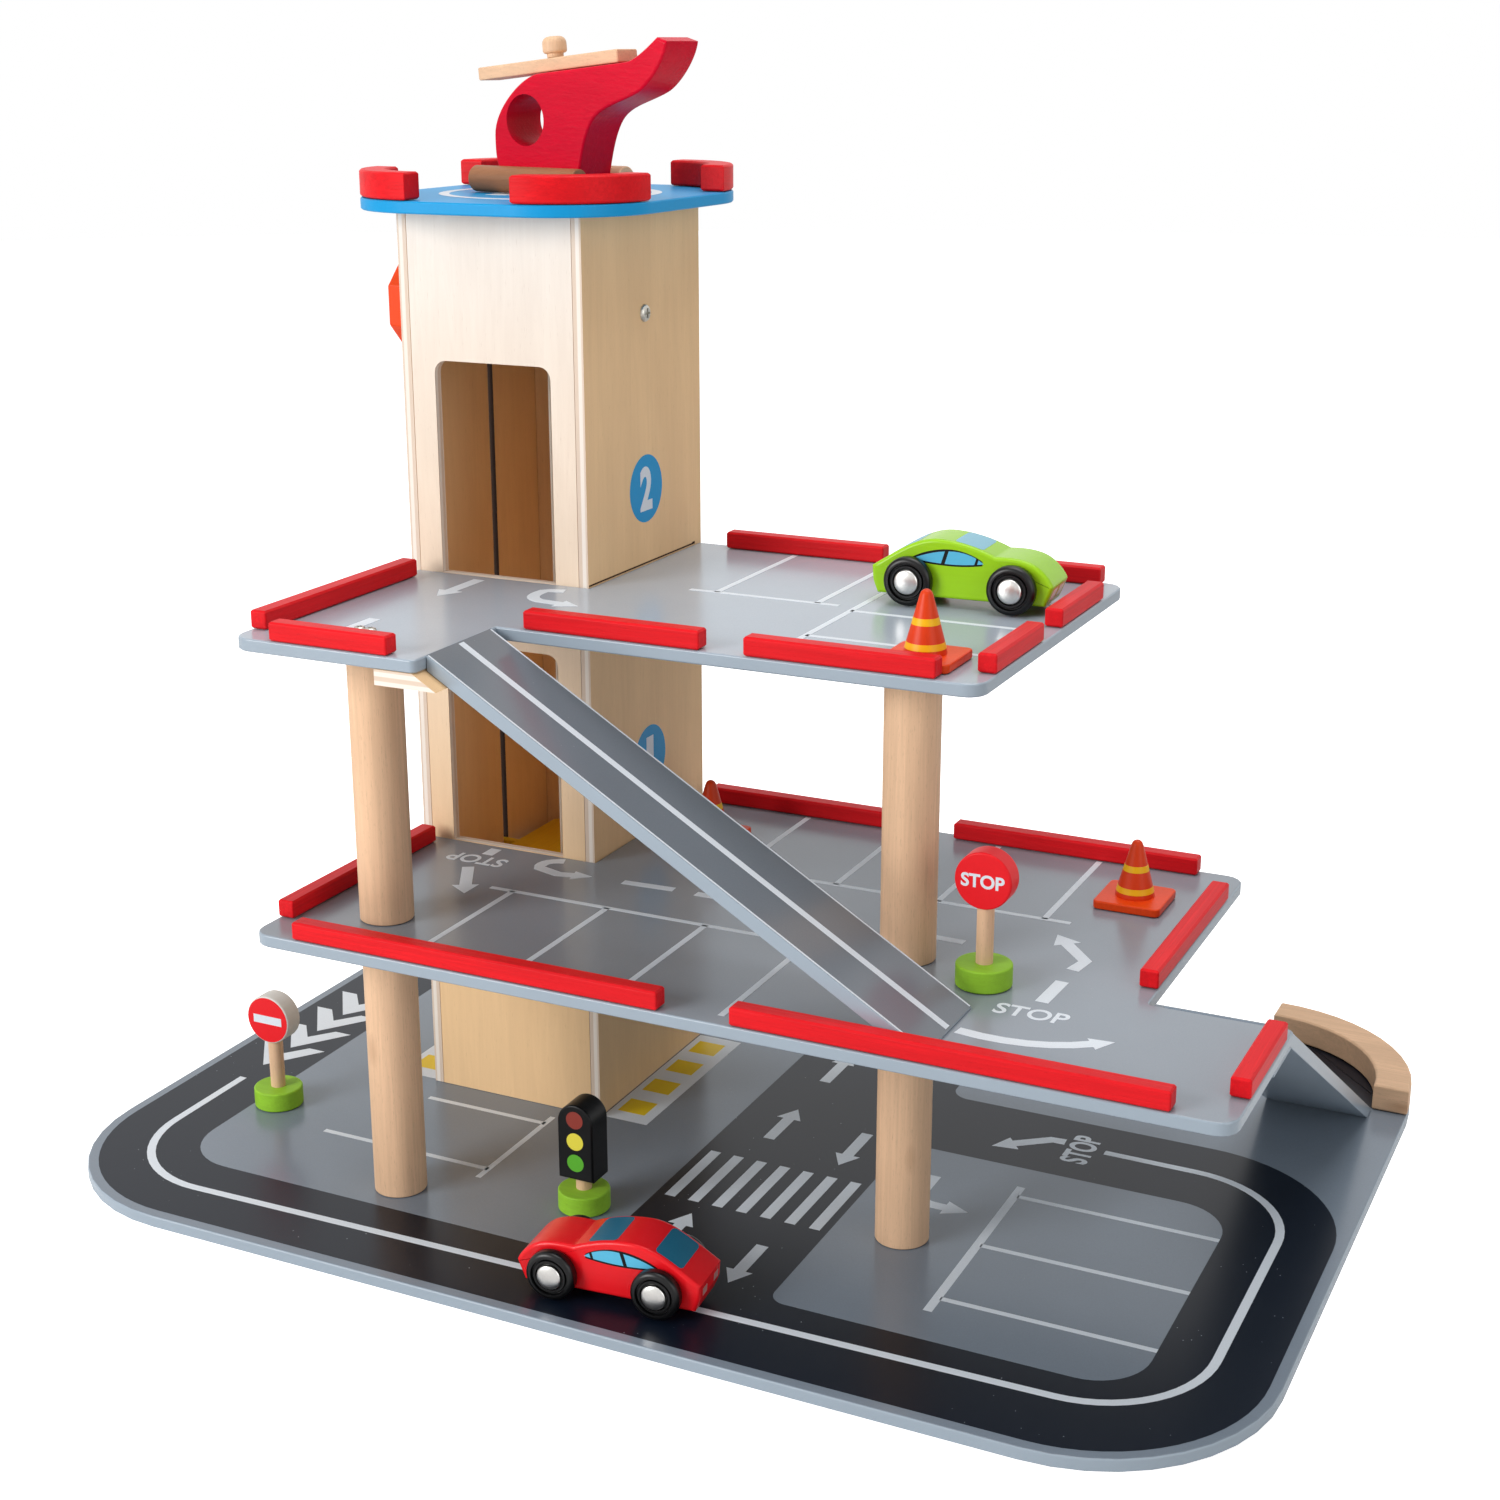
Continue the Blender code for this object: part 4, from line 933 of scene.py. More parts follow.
class GARAGE_OT_deck_print(bpy.types.Operator):
    """Print the bays, arrows and words on the middle and upper decks"""

    bl_idname = "garage.deck_print"
    bl_label = "Deck print"

    def execute(self, context):
        bay = sizes().bay_line / MM
        white = white_ink()
        deck, top = "middle_deck", board_top("middle_deck")
        arrows = [
            arrow([(-127, -74), (-109, -106)]),
            arrow([*bent((-88, -47), (-99, -50), (-95, -60)), (-82, -64), (-65, -60)], 11),
            arrow([(182, -72), (184, -60), (163, -35)]),
            arrow([*bent((159, -153), (186, -158), (206, -147), 6), (221, -137)], 11),
        ]
        printed("middle_arrows", arrows, 2, white, deck, top)
        dashes = [
            stroke([(-48, -60), (-21, -58.5)], 5),
            stroke([(-9, -59), (17, -59)], 5),
            stroke([(128, -62), (104, -61.5)], 5),
            stroke([(182, -86), (181, -111)], 6),
            stroke([(-128, -46), (-128, -55)], 6),
        ]
        printed("middle_dashes", dashes, 2, white, deck, top)
        lines = [stroke(run, bay) for run in ([(-102, -93.5), (66, -93.5)], [(-8, -19), (164, -19)])]
        printed("middle_bay_lines", lines, 2, white, deck, top)
        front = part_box("middle_curb_front_left")[1].y / MM
        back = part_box("middle_curb_back_left")[0].y / MM
        shape = flat_shapes([stroke([(0, front), (0, -93.5)], bay)], 2)
        row_of("middle_front_bays", shape, 4, (51.5, 0, 0), white, deck, at(deck, -89.5, 0))
        shape = flat_shapes([stroke([(0, -19), (0, back)], bay)], 2)
        row_of("middle_back_bays", shape, 4, (52.6, 0, 0), white, deck, at(deck, -6.5, 0))
        lettered("middle_stop_by_ramp", "STOP", 32, 11, 2, white, deck, at(deck, 181, -124))
        lettered("middle_stop_by_lift", "STOP", 32, 11, 2, white, deck, at(deck, -129, -63, 180))

        deck, top = "upper_deck", board_top("upper_deck")
        arrows = [
            arrow([(-130.5, -49), (-130.5, -86)]),
            arrow([(-81, -52), (-88, -54), *bent((-90, -56), (-92, -70), (-82, -74)), (-60, -76)], 12),
            arrow([(-131, -136), (-131, -166)], 12),
        ]
        printed("upper_arrows", arrows, 2, white, deck, top)
        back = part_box("upper_curb_back_left")[0].y / MM
        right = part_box("upper_curb_right_front")[0].x / MM
        runs = (
            [(-29, -23), (48, -23)],
            [(-15, -23), (-15, back)],
            [(37, -23), (37, back)],
            [(57, -88), (57, 24)],
        )
        printed("upper_bay_lines", [stroke(run, bay) for run in runs], 2, white, deck, top)
        shape = flat_shapes([stroke([(57, 0), (right, 0)], bay)], 2)
        row_of("upper_right_bays", shape, 3, (0, 50, 0), white, deck, at(deck, 0, -80))
        return {"FINISHED"}


def slope_corners(node):
    """The corners of a ramp's sloping top, which is its widest face that looks up at a slant."""
    mesh = frame["nodes"][node].data
    slanting = [face for face in mesh.polygons if 0.5 < face.normal.z < 0.95]
    way = max(slanting, key=lambda face: face.area).normal
    top = [face for face in slanting if face.normal.dot(way) > 0.9999]
    return [mesh.vertices[index].co.copy() for face in top for index in face.vertices]


class GARAGE_OT_ramp_print(bpy.types.Operator):
    """Print the middle line and edge lines on both ramps"""

    bl_idname = "garage.ramp_print"
    bl_label = "Ramp print"

    def execute(self, context):
        for node, across in (("upper_ramp", Vector((0, 1, 0))), ("exit_ramp", Vector((-1, 0, 0)))):
            corners = slope_corners(node)
            start = max(corners, key=lambda corner: corner.z - corner.dot(across))
            end = min(corners, key=lambda corner: corner.z + corner.dot(across))
            width = (max(corner.dot(across) for corner in corners) - start.dot(across)) / MM
            reach = (end - start).length / MM
            runs = ((1, width / 2, 4), (0.5, 0.7, 1), (0.5, width - 0.7, 1))
            lines = [stroke([(gap, side), (reach - gap, side)], thick) for gap, side, thick in runs]
            place = face_frame(start, end - start, across)
            printed(f"{node}_lines", lines, 2, white_ink(), node, place)
        return {"FINISHED"}


class GARAGE_OT_pad_print(bpy.types.Operator):
    """Print a ring and a plain letter H on the helicopter pad"""

    bl_idname = "garage.pad_print"
    bl_label = "Pad print"

    def execute(self, context):
        middle = centre("helipad") / MM
        place = at("helipad", middle.x, middle.y)
        shape = bmesh.new()
        outer, inner = (
            [shape.verts.new((x * MM, y * MM, 0)) for x, y in disc(radius, 72)] for radius in (54, 49)
        )
        for index in range(len(outer)):
            shape.faces.new((outer[index - 1], outer[index], inner[index], inner[index - 1]))
        laid("pad_ring", mesh_of("pad_ring", inked(shape, 2), place), white_ink(), "helipad")
        lettered("pad_letter", "H", 40, 56, 2, white_ink(), "helipad", place, 0.05)
        return {"FINISHED"}


class GARAGE_OT_curbs(bpy.types.Operator):
    """Finish the red bars round the decks and the pad, and the beech guide at the exit ramp's foot"""

    bl_idname = "garage.curbs"
    bl_label = "Curbs"

    def execute(self, context):
        for node in frame["nodes"]:
            if "curb" not in node or node == "exit_guide_curb":
                continue
            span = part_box(node)[1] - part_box(node)[0]
            dressed(node, red_stain("X" if span.x > span.y else "Y"), edge=0.3)
        dressed("exit_guide_curb", beech("X"), edge=0.3)
        return {"FINISHED"}


class GARAGE_OT_posts(bpy.types.Operator):
    """Turn the four beech posts"""

    bl_idname = "garage.posts"
    bl_label = "Posts"

    def execute(self, context):
        for node in ("left_lower_post", "left_upper_post", "right_lower_post", "right_upper_post"):
            place, radius, height = standing(node)
            shape = rod(radius, 0, height, 0.6, 64)
            publish(f"{node}_turned", mesh_of(node, shape, place), beech("Z"), node)
        return {"FINISHED"}


class GARAGE_OT_tower(bpy.types.Operator):
    """Finish the plywood walls and ledges and print the floor numbers"""

    bl_idname = "garage.tower"
    bl_label = "Tower"

    def execute(self, context):
        warm_and_shade = colours().warm_birch_and_shade
        points = [vertex.co for vertex in frame["nodes"]["lift_platform"].data.vertices]
        tongue = min(point.x for point in points) + 1 * MM
        sides = [point.y for point in points if point.x < tongue]
        slot = (min(sides) + max(sides)) / 2
        dressed("tower_left_wall", birch_plywood("slotted", "X", warm_and_shade, slot=slot))
        dressed("tower_right_wall", birch_plywood("side", "X", warm_and_shade))
        # The front wall turns warmer towards its foot as painted warm shade and reflected light.
        dressed("tower_front_wall", birch_plywood("front", "Y", colours().birch, warm_and_shade))
        dressed("tower_back_wall", birch_plywood("back", "Y", warm_and_shade))
        dressed("ramp_ledge", birch_plywood("ledge", "Z", warm_and_shade))
        dressed("exit_ramp_ledge", satin_paint("ledge_grey", colours().grey_edge))
        wall = "tower_right_wall"
        low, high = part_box(wall)
        across = (low.y + high.y) / 2
        # A thin dark brown strip is painted as the shadow in the gap where the upper deck meets the right
        # wall.
        joint = face_frame((high.x, low.y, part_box("upper_deck")[1].z), (0, 1, 0), (0, 0, 1))
        depth = (high.y - low.y) / MM
        gap_shade_ink = ink("painted_gap_shade", colours().gap_shade_brown, 0.8)
        gap = [box_outline(0.5, 0.3, depth - 9, 1.1), box_outline(depth - 10, 0.3, depth - 7, 1.6)]
        printed("deck_joint_gap", gap, 0, gap_shade_ink, wall, joint)
        blue = satin_paint("blue", colours().blue)
        raised, radius, tall = 38, 16.8, 22
        for floor, above, width in (("1", "middle_deck", 7.5), ("2", "upper_deck", 12.5)):
            origin = (high.x, across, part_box(above)[1].z + raised * MM)
            place = face_frame(origin, (0, 1, 0), (0, 0, 1))
            printed(f"floor_disc_{floor}", [disc(radius, 64)], 0, blue, wall, place)
            lettered(f"floor_number_{floor}", floor, width, tall, 2, white_ink(), wall, place, 0.04)
        return {"FINISHED"}


class GARAGE_OT_lift(bpy.types.Operator):
    """Finish the lift's platform, spool, knob and cord"""

    bl_idname = "garage.lift"
    bl_label = "Lift"

    def execute(self, context):
        dressed("lift_platform", yellow_paint(), edge=0.4)
        dressed("winding_spool", beech("X"))
        dressed("crank_knob", orange_paint(), edge=0.4)
        low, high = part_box("lift_cord")
        span = high.z - low.z
        thing = helper("cord", bpy.data.meshes.new("cord"))
        strand = sizes().cord / 4
        values = {"Length": span, "Turns": span / sizes().strand_turn, "Lay": strand, "Strand": strand}
        mesh = grown(thing, cord_tree(), Strands=sizes().strands, Finish=cotton(), **values)
        bpy.data.objects.remove(thing)
        mesh.transform(Matrix.Translation(((low.x + high.x) / 2, (low.y + high.y) / 2, high.z)))
        cord = publish("twisted_lift_cord", mesh, cotton(), "lift_cord", easing=False, rides=False)
        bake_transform(cord)
        return {"FINISHED"}


def screw_shape(radius):
    """A pan head with a cross recess, its seat at height 0."""
    height = radius * 0.45
    flat = radius * 0.55
    crown = [(flat + x * height, y * height) for x, y in soft_corner(0, 0, 1, 0, 90, 6)]
    profile = [(0, 0), (radius, 0), *crown, (0, height)]
    head = helper("screw", mesh_of("screw", turned(profile, 32)))
    slots = []
    reach, narrow = radius * 1.1, radius * 0.24
    for wide, deep in ((reach, narrow), (narrow, reach)):
        outline = box_outline(-wide / 2, -deep / 2, wide / 2, deep / 2)
        slots.append(helper("slot", mesh_of("slot", slab(outline, height * 0.35, height * 2))))
    cut_with(head, slots)
    shape = bmesh.new()
    shape.from_mesh(head.data)
    bpy.data.objects.remove(head)
    return shape


class GARAGE_OT_screws(bpy.types.Operator):
    """Set the screws in the upper deck over its left post and in the tower's right wall"""

    bl_idname = "garage.screws"
    bl_label = "Screws"

    def execute(self, context):
        radius = sizes().screw_head / 2 / MM
        apart, larger = 5.8, 1.6
        zinc = steel("zinc_plated_screw", "c9c6bd", 0.3)
        post = centre("left_upper_post") / MM
        place = at("upper_deck", post.x - 2, post.y - 7)
        row_of("deck_screws", screw_shape(radius), 2, (apart, 0, 0), zinc, "upper_deck", place)
        spool = centre("winding_spool")
        origin = (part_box("tower_right_wall")[1].x, spool.y, spool.z)
        place = face_frame(origin, (0, 1, 0), (0, 0, 1))
        shape = screw_shape(radius * larger)
        row_of("spool_screw", shape, 1, (0, 0, 0), zinc, "tower_right_wall", place)
        return {"FINISHED"}


# Where the rotor's peg meets the helicopter's back: along its length and up from the pad, in millimetres.
HELICOPTER_ROTOR_SEAT = (6.0, 55.4)


def helicopter_place():
    """Where the helicopter stands and which way it heads, from the axis of its rotor."""
    joint = JOINTS["rotor_spin"]
    axis = Vector(joint["axis"])
    heading = math.atan2(-axis.y, -axis.x)
    turn = Matrix.Rotation(heading, 4, "Z")
    seat = Vector((HELICOPTER_ROTOR_SEAT[0] * MM, 0, HELICOPTER_ROTOR_SEAT[1] * MM))
    place = Matrix.Translation(Vector(joint["pos_m"]) - turn @ seat) @ turn
    hub = place @ Matrix.Translation(seat) @ Matrix.Rotation(-math.acos(axis.z), 4, "Y")
    return place, hub, math.degrees(math.acos(axis.z))


def helicopter_outline(tilt):
    """The side of the helicopter in millimetres: a round cabin whose top runs straight into its tail."""
    bottom = 8.5
    anchors = [
        ((-20.0, bottom), (0, 150), (0, 6)),
        ((-25.2, 26.5), (90, 90), (8, 11)),
        ((-2.0, 53.5), (22, 22), (10, 4)),
        (HELICOPTER_ROTOR_SEAT, (tilt, tilt), (3, 0)),
        ((58.0, 60.5), (tilt, tilt), (0, 6)),
        ((77.5, 71.4), (36, 0), (6, 0)),
        ((83.5, 69.7), (0, 262), (0, 8)),
        ((65.5, 47.0), (204, 204), (8, 12)),
        ((37.5, 33.8), (232, 232), (9, 8)),
        ((28.5, bottom), (258, 0), (8, 0)),
    ]
    return smooth_outline(anchors, 14)


class GARAGE_OT_helicopter(bpy.types.Operator):
    """Shape the helicopter's body, skids, rotor and peg"""

    bl_idname = "garage.helicopter"
    bl_label = "Helicopter"

    def execute(self, context):
        place, hub, tilt = helicopter_place()
        half, skid, spacing, reach, middle = 12, 6.25, 34, 33.5, 0.5
        window, window_x, window_z = 12, -4.6, 33.8
        mesh = mesh_of("helicopter", slab(helicopter_outline(tilt), -half, half, 1.4, 5, "Y"))
        body = publish("helicopter_body_carved", mesh, crimson_paint(), "helicopter_body")
        pane = Matrix.Translation((window_x * MM, 0, window_z * MM))
        cutters = [helper("hole", mesh_of("hole", rod(window, -20, 20, 0.1, 64, "Y"), pane))]
        for side, y in (("near", -spacing / 2), ("far", spacing / 2)):
            rest = Matrix.Translation((middle * MM, y * MM, skid * MM))
            cove = rod(skid + 0.3, -60, 60, 0.1, 40, "X")
            cutters.append(helper(f"cove_{side}", mesh_of("cove", cove, rest)))
            mesh = mesh_of(f"skid_{side}", rod(skid, -reach, reach, 0.8, 40, "X"), place @ rest)
            # The near skid gets beech darkened as painted shade under the body.
            finish = shade_darkened_beech() if side == "near" else beech("X")
            publish(f"helicopter_skid_{side}_turned", mesh, finish, f"helicopter_skid_{side}")
        carve(body, cutters, place)

        under, thick, wide, long = 0.6, 6, 15, 90
        outline = box_outline(-long / 2, -wide / 2, long / 2, wide / 2, 1.2, 4)
        mesh = mesh_of("rotor", slab(outline, under, under + thick, 0.7, 3))
        rotor = publish("helicopter_rotor_planed", mesh, beech("X"), "helicopter_rotor")
        carve(rotor, [helper("bore", mesh_of("bore", rod(3.6, -5, 20, 0.1, 32)))], hub)

        seat, neck = under + thick, under + thick + 2.4
        profile = [(0, -12), (3.2, -12), (3.2, seat + 0.3), (4.0, seat + 0.5), (4.0, neck)]
        profile += soft_corner(4.4, neck + 1.4, 1.4, -80, 0)
        profile += [*soft_corner(2.6, neck + 4.5, 3.2, 0, 90, 6), (0, neck + 7.7)]
        publish("rotor_peg_turned", mesh_of("peg", turned(profile, 40), hub), beech("Z"), "rotor_peg")
        return {"FINISHED"}


# A car's side in millimetres, as smooth_outline takes it: nose, hood, roof, tail and underside.
CAR_ANCHORS = [
    ((39.3, 4.2), (0, 68), (0, 2)),
    ((43.0, 13.4), (72, 104), (2, 2)),
    ((35.0, 22.4), (148, 150), (5, 5)),
    ((15.5, 25.2), (184, 154), (9, 3)),
    ((-12.0, 31.4), (180, 180), (13, 11)),
    ((-43.8, 16.6), (212, 0), (13, 0)),
    ((-43.4, 10.5), (0, 280), (0, 2)),
    ((-41.0, 3.9), (290, 0), (2, 0)),
]
CAR_HALF_WIDTH = 13.0
WHEEL_INNER_FACE = 13.4


def car_place(name):
    """Where a car stands and which way it heads, from its two wheel sets."""
    front, rear = centre(f"{name}_car_front_wheels"), centre(f"{name}_car_rear_wheels")
    way = front - rear
    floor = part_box(f"{name}_car_front_wheels")[0].z
    middle = (front + rear) / 2
    turn = Matrix.Rotation(math.atan2(way.y, way.x), 4, "Z")
    return Matrix.Translation((middle.x, middle.y, floor)) @ turn


def window_outline(start, end, inset):
    """A stretch of a side window between two places along the car. With an inset it leans as a pane does."""
    front_reach, rear_reach, peak, sill, rise = 17.3, 20.2, -5.5, 21.1, 6.1
    upper, lower = [], []
    lean = 0.3 if inset else 0
    steps = 18
    for step in range(steps + 1):
        x = start + (end - start) * step / steps
        share = min(1.0, abs(x - peak) / (front_reach if x > peak else rear_reach))
        top = sill + rise * (1 - share**1.9) ** 0.85 - inset
        bottom = sill - 1.7 * (1 - share**2) + inset
        if top <= bottom:
            continue
        upper.append((x + (top - sill) * lean, top))
        lower.append((x + (bottom - sill) * lean, bottom))
    return upper + lower[::-1]


def skin_patch(run, half_width, corner, shift, lift):
    """A thin patch of paint with rounded corners, along a run of points on a car's outline."""
    lengths = [0.0]
    for before, after in zip(run, run[1:]):
        lengths.append(lengths[-1] + (after - before).length)
    shape = bmesh.new()
    rings = []
    for index, point in enumerate(run):
        before, after = run[max(index - 1, 0)], run[min(index + 1, len(run) - 1)]
        way = (after - before).normalized()
        outwards = Vector((way.y, -way.x))
        edge = min(lengths[index], lengths[-1] - lengths[index])
        reach = half_width
        if edge < corner:
            reach -= corner - math.sqrt(corner**2 - (corner - edge) ** 2)
        ring = []
        for side, raised in ((-1, 0.01), (1, 0.01), (1, lift), (-1, lift)):
            spot = point + outwards * raised
            ring.append(shape.verts.new((spot.x * MM, (shift + side * reach) * MM, spot.y * MM)))
        rings.append(ring)
    for first, second in zip(rings, rings[1:]):
        for i in range(4):
            j = (i + 1) % 4
            shape.faces.new((first[i], first[j], second[j], second[i]))
    shape.faces.new(rings[0])
    shape.faces.new(rings[-1])
    return shape


def wheel_shapes(inner):
    """Turned profiles of a tyre, with a groove and a ring round its hub, and of a domed hub cap."""
    tyre = [(2.0, 0), (9.6, 0), *soft_corner(10.0, 1.5, 1.5, -80, 0)]
    tyre += [*soft_corner(9.2, 3.7, 2.3, 0, 84, 7), (8.8, 6.0), (8.5, 5.4), (8.4, 4.6), (7.9, 4.6)]
    tyre += [(7.8, 5.3), (7.5, 5.6), (6.6, 5.6), (6.3, 5.3), (6.2, 4.6), (2.0, 4.6)]
    edge, dome, domed_from = 5.75, 1.5, 6.0
    cap = [(0, 4.4), (5.7, 4.4), (edge, domed_from)]
    for angle in range(12, 90, 11):
        turn = math.radians(angle)
        cap.append((edge * math.cos(turn), domed_from + dome * math.sin(turn)))
    cap.append((0, domed_from + dome))
    return [[(radius, inner + out) for radius, out in profile] for profile in (tyre, cap)]


def mirrored(shape):
    """A shape and its mirror image across Y, as one mesh's worth of faces."""
    twin = bmesh.ops.duplicate(shape, geom=shape.verts[:] + shape.edges[:] + shape.faces[:])["geom"]
    verts = [item for item in twin if isinstance(item, bmesh.types.BMVert)]
    bmesh.ops.scale(shape, vec=(1, -1, 1), verts=verts)
    return shape


def build_car(name, enamel, screen_paint):
    """One car: its carved body, painted windows and lamps, and two sets of wheels."""
    place = car_place(name)
    like = f"{name}_car_body"
    half = CAR_HALF_WIDTH
    mesh = mesh_of("car", slab(smooth_outline(CAR_ANCHORS, 14), -half, half, 1.8, 5, "Y"))
    body = publish(f"{name}_car_shell", mesh, enamel, like)
    axles = {}
    for end in ("front", "rear"):
        axles[end] = Matrix.Translation(place.inverted() @ centre(f"{name}_car_{end}_wheels"))
    bores = [mesh_of("bore", rod(2.4, -20, 20, 0.1, 24, "Y"), axle) for axle in axles.values()]
    carve(body, [helper("bore", bore) for bore in bores], place)

    black = satin_paint("black", colours().black, 0.35)
    glass = satin_paint("window_blue", colours().glass, 0.3)
    screen = satin_paint(f"{name}_screen_blue", screen_paint, 0.3)
    for side, way in (("right", 1), ("left", -1)):
        turn = face_frame((0, -way * half * MM, 0), (way, 0, 0), (0, 0, 1))
        windows = [window_outline(11.8, -25.6, 0)]
        stretches = ((10.2, 7.2), (5.9, -8.0), (-9.8, -23.4))
        panes = [window_outline(*stretch, 0.85) for stretch in stretches]
        layers = (("window_frames", windows, black), ("panes", panes, glass))
        for layer, (label, outlines, paint) in enumerate(layers):
            outlines = [[(x * way, z) for x, z in outline] for outline in outlines]
            printed(f"{name}_car_{side}_{label}", outlines, layer, paint, like, place @ turn)
    skin = smooth_outline(CAR_ANCHORS, 60, straights=True)
    top = [point for point in skin if point.y > 14]
    nose = [point for point in skin if point.x > 30]
    tail = [point for point in skin if point.x < -30 and point.y < 16.5]
    lamp = satin_paint("lamp_white", linear("efe6da"), 0.35)
    tail_lamp = satin_paint("tail_lamp", linear("c08482"), 0.35)
    frames = satin_paint(f"{name}_lamp_frame", linear("c9a21e" if name == "green" else "b8131c"), 0.35)
    # Each patch: name, run of skin, half width, corners, place across the car and paint.
    patches = (
        ("windscreen", [p for p in top if -5.0 < p.x < 9.5], 11.0, 2.0, 0, screen),
        ("rear_window", [p for p in top if -35.0 < p.x < -22.0], 11.0, 2.0, 0, screen),
        ("head_lamp_frame", [p for p in nose if 5.8 < p.y < 12.8], 9.6, 0.6, 0, frames),
        ("head_lamp_right", [p for p in nose if 6.8 < p.y < 11.8], 3.2, 0.5, -5.2, lamp),
        ("head_lamp_left", [p for p in nose if 6.8 < p.y < 11.8], 3.2, 0.5, 5.2, lamp),
        ("tail_lamp_right", [p for p in tail if 10.6 < p.y < 14.3], 2.5, 0.4, -6.6, tail_lamp),
        ("tail_lamp_left", [p for p in tail if 10.6 < p.y < 14.3], 2.5, 0.4, 6.6, tail_lamp),
    )
    for label, run, reach, corner, shift, paint in patches:
        lift = 0.12 if label.endswith(("right", "left")) else 0.06
        mesh = mesh_of(label, skin_patch(run, reach, corner, shift, lift), place)
        laid(f"{name}_car_{label}", mesh, paint, like)

    tyre, cap = wheel_shapes(WHEEL_INNER_FACE)
    nickel, zinc = steel("nickel_hub_cap", "dcdad6", 0.28), steel("zinc_axle", "b9b9b6", 0.35)
    for end, axle in axles.items():
        shapes = (
            ("tyres", mirrored(turned(tyre, 64, "Y")), tyre_plastic()),
            ("hub_caps", mirrored(turned(cap, 48, "Y")), nickel),
            ("axle", rod(2.0, -WHEEL_INNER_FACE - 5, WHEEL_INNER_FACE + 5, 0.2, 24, "Y"), zinc),
        )
        for label, shape, finish in shapes:
            mesh = mesh_of(label, shape, place @ axle)
            like = f"{name}_car_{end}_wheels"
            publish(f"{name}_{end}_{label}", mesh, finish, like, stands_for=label == "tyres")


class GARAGE_OT_cars(bpy.types.Operator):
    """Shape both cars, their painted windows and lamps, tyres, hub caps and axles"""

    bl_idname = "garage.cars"
    bl_label = "Cars"

    def execute(self, context):
        build_car("red", car_paint("red", colours().car_red), colours().screen)
        build_car("green", car_paint("green", colours().car_green), linear("86c0d4"))
        return {"FINISHED"}


def sign_stand(name, post_top):
    """A turned lime foot and a plain post where the CAD stand is. It gives the foot's place."""
    like = f"{name}_stand"
    place, radius, _ = standing(like)
    height, post = 10, 3.75
    publish(f"{name}_foot", mesh_of("foot", rod(radius, 0, height, 0.9, 64), place), lime_stain(), like)
    mesh = mesh_of("post", rod(post, height - 0.5, post_top, 0.3, 32), place)
    publish(f"{name}_post", mesh, beech("Z"), like, stands_for=False)
    return place


class GARAGE_OT_signs(bpy.types.Operator):
    """Turn the stop sign and the no entry sign"""

    bl_idname = "garage.signs"
    bl_label = "Signs"

    def execute(self, context):
        radius, thick, height = 12.8, 10.5, 48.5
        red = satin_paint("sign_red", colours().red, 0.38)
        pale = satin_paint("pale_rim", linear("d9d6d0"), 0.5)
        for name, rim in (("stop_sign", red), ("no_entry_sign", pale)):
            place = sign_stand(name, height - radius + 6)
            shape = rod(radius, -thick / 2, thick / 2, 0.9, 72, "Y")
            head = place @ Matrix.Translation((0, 0, height * MM))
            like = f"{name}_head"
            publish(f"{name}_disc", mesh_of("disc", shape, head), rim, like)
            front = head @ face_frame((0, -thick / 2 * MM, 0), (1, 0, 0), (0, 0, 1))
            printed(f"{name}_face", [disc(radius - 0.7, 72)], 0, red, like, front)
            if name == "stop_sign":
                lettered("stop_sign_word", "STOP", 19.5, 6.2, 2, white_ink(), like, front, 0.03)
            else:
                bar = box_outline(-8.6, -2.2, 8.6, 2.2)
                printed("no_entry_sign_bar", [bar], 2, white_ink(), like, front)
        return {"FINISHED"}


class GARAGE_OT_traffic_light(bpy.types.Operator):
    """Shape the traffic light and its three discs"""

    bl_idname = "garage.traffic_light"
    bl_label = "Traffic light"

    def execute(self, context):
        low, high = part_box("traffic_light_head")
        place = sign_stand("traffic_light", 26)
        raised, tall = 6, 38.3
        half, deep = (high.x - low.x) / 2 / MM, (high.y - low.y) / MM
        arch = soft_corner(0, tall - half, half, 0, 180, 30)
        shape = slab([(-half, 0), (half, 0), *arch], -deep / 2, deep / 2, 1.0, 4, "Y")
        head = Matrix.Translation(((low.x + high.x) / 2, (low.y + high.y) / 2, low.z + raised * MM))
        like = "traffic_light_head"
        black = satin_paint("black", colours().black, 0.35)
        publish("traffic_light_block", mesh_of("block", shape, head), black, like)
        front = head @ face_frame((0, -deep / 2 * MM, 0), (1, 0, 0), (0, 0, 1))
        lamps = (("red", "8e3a30", 30.8), ("yellow", "e8dc4c", 19.8), ("green", "5fb534", 8.8))
        for label, code, height in lamps:
            lamp = satin_paint(f"{label}_lamp", linear(code), 0.4)
            printed(f"traffic_light_{label}", [disc(4.4, height=height)], 0, lamp, like, front)
        return {"FINISHED"}


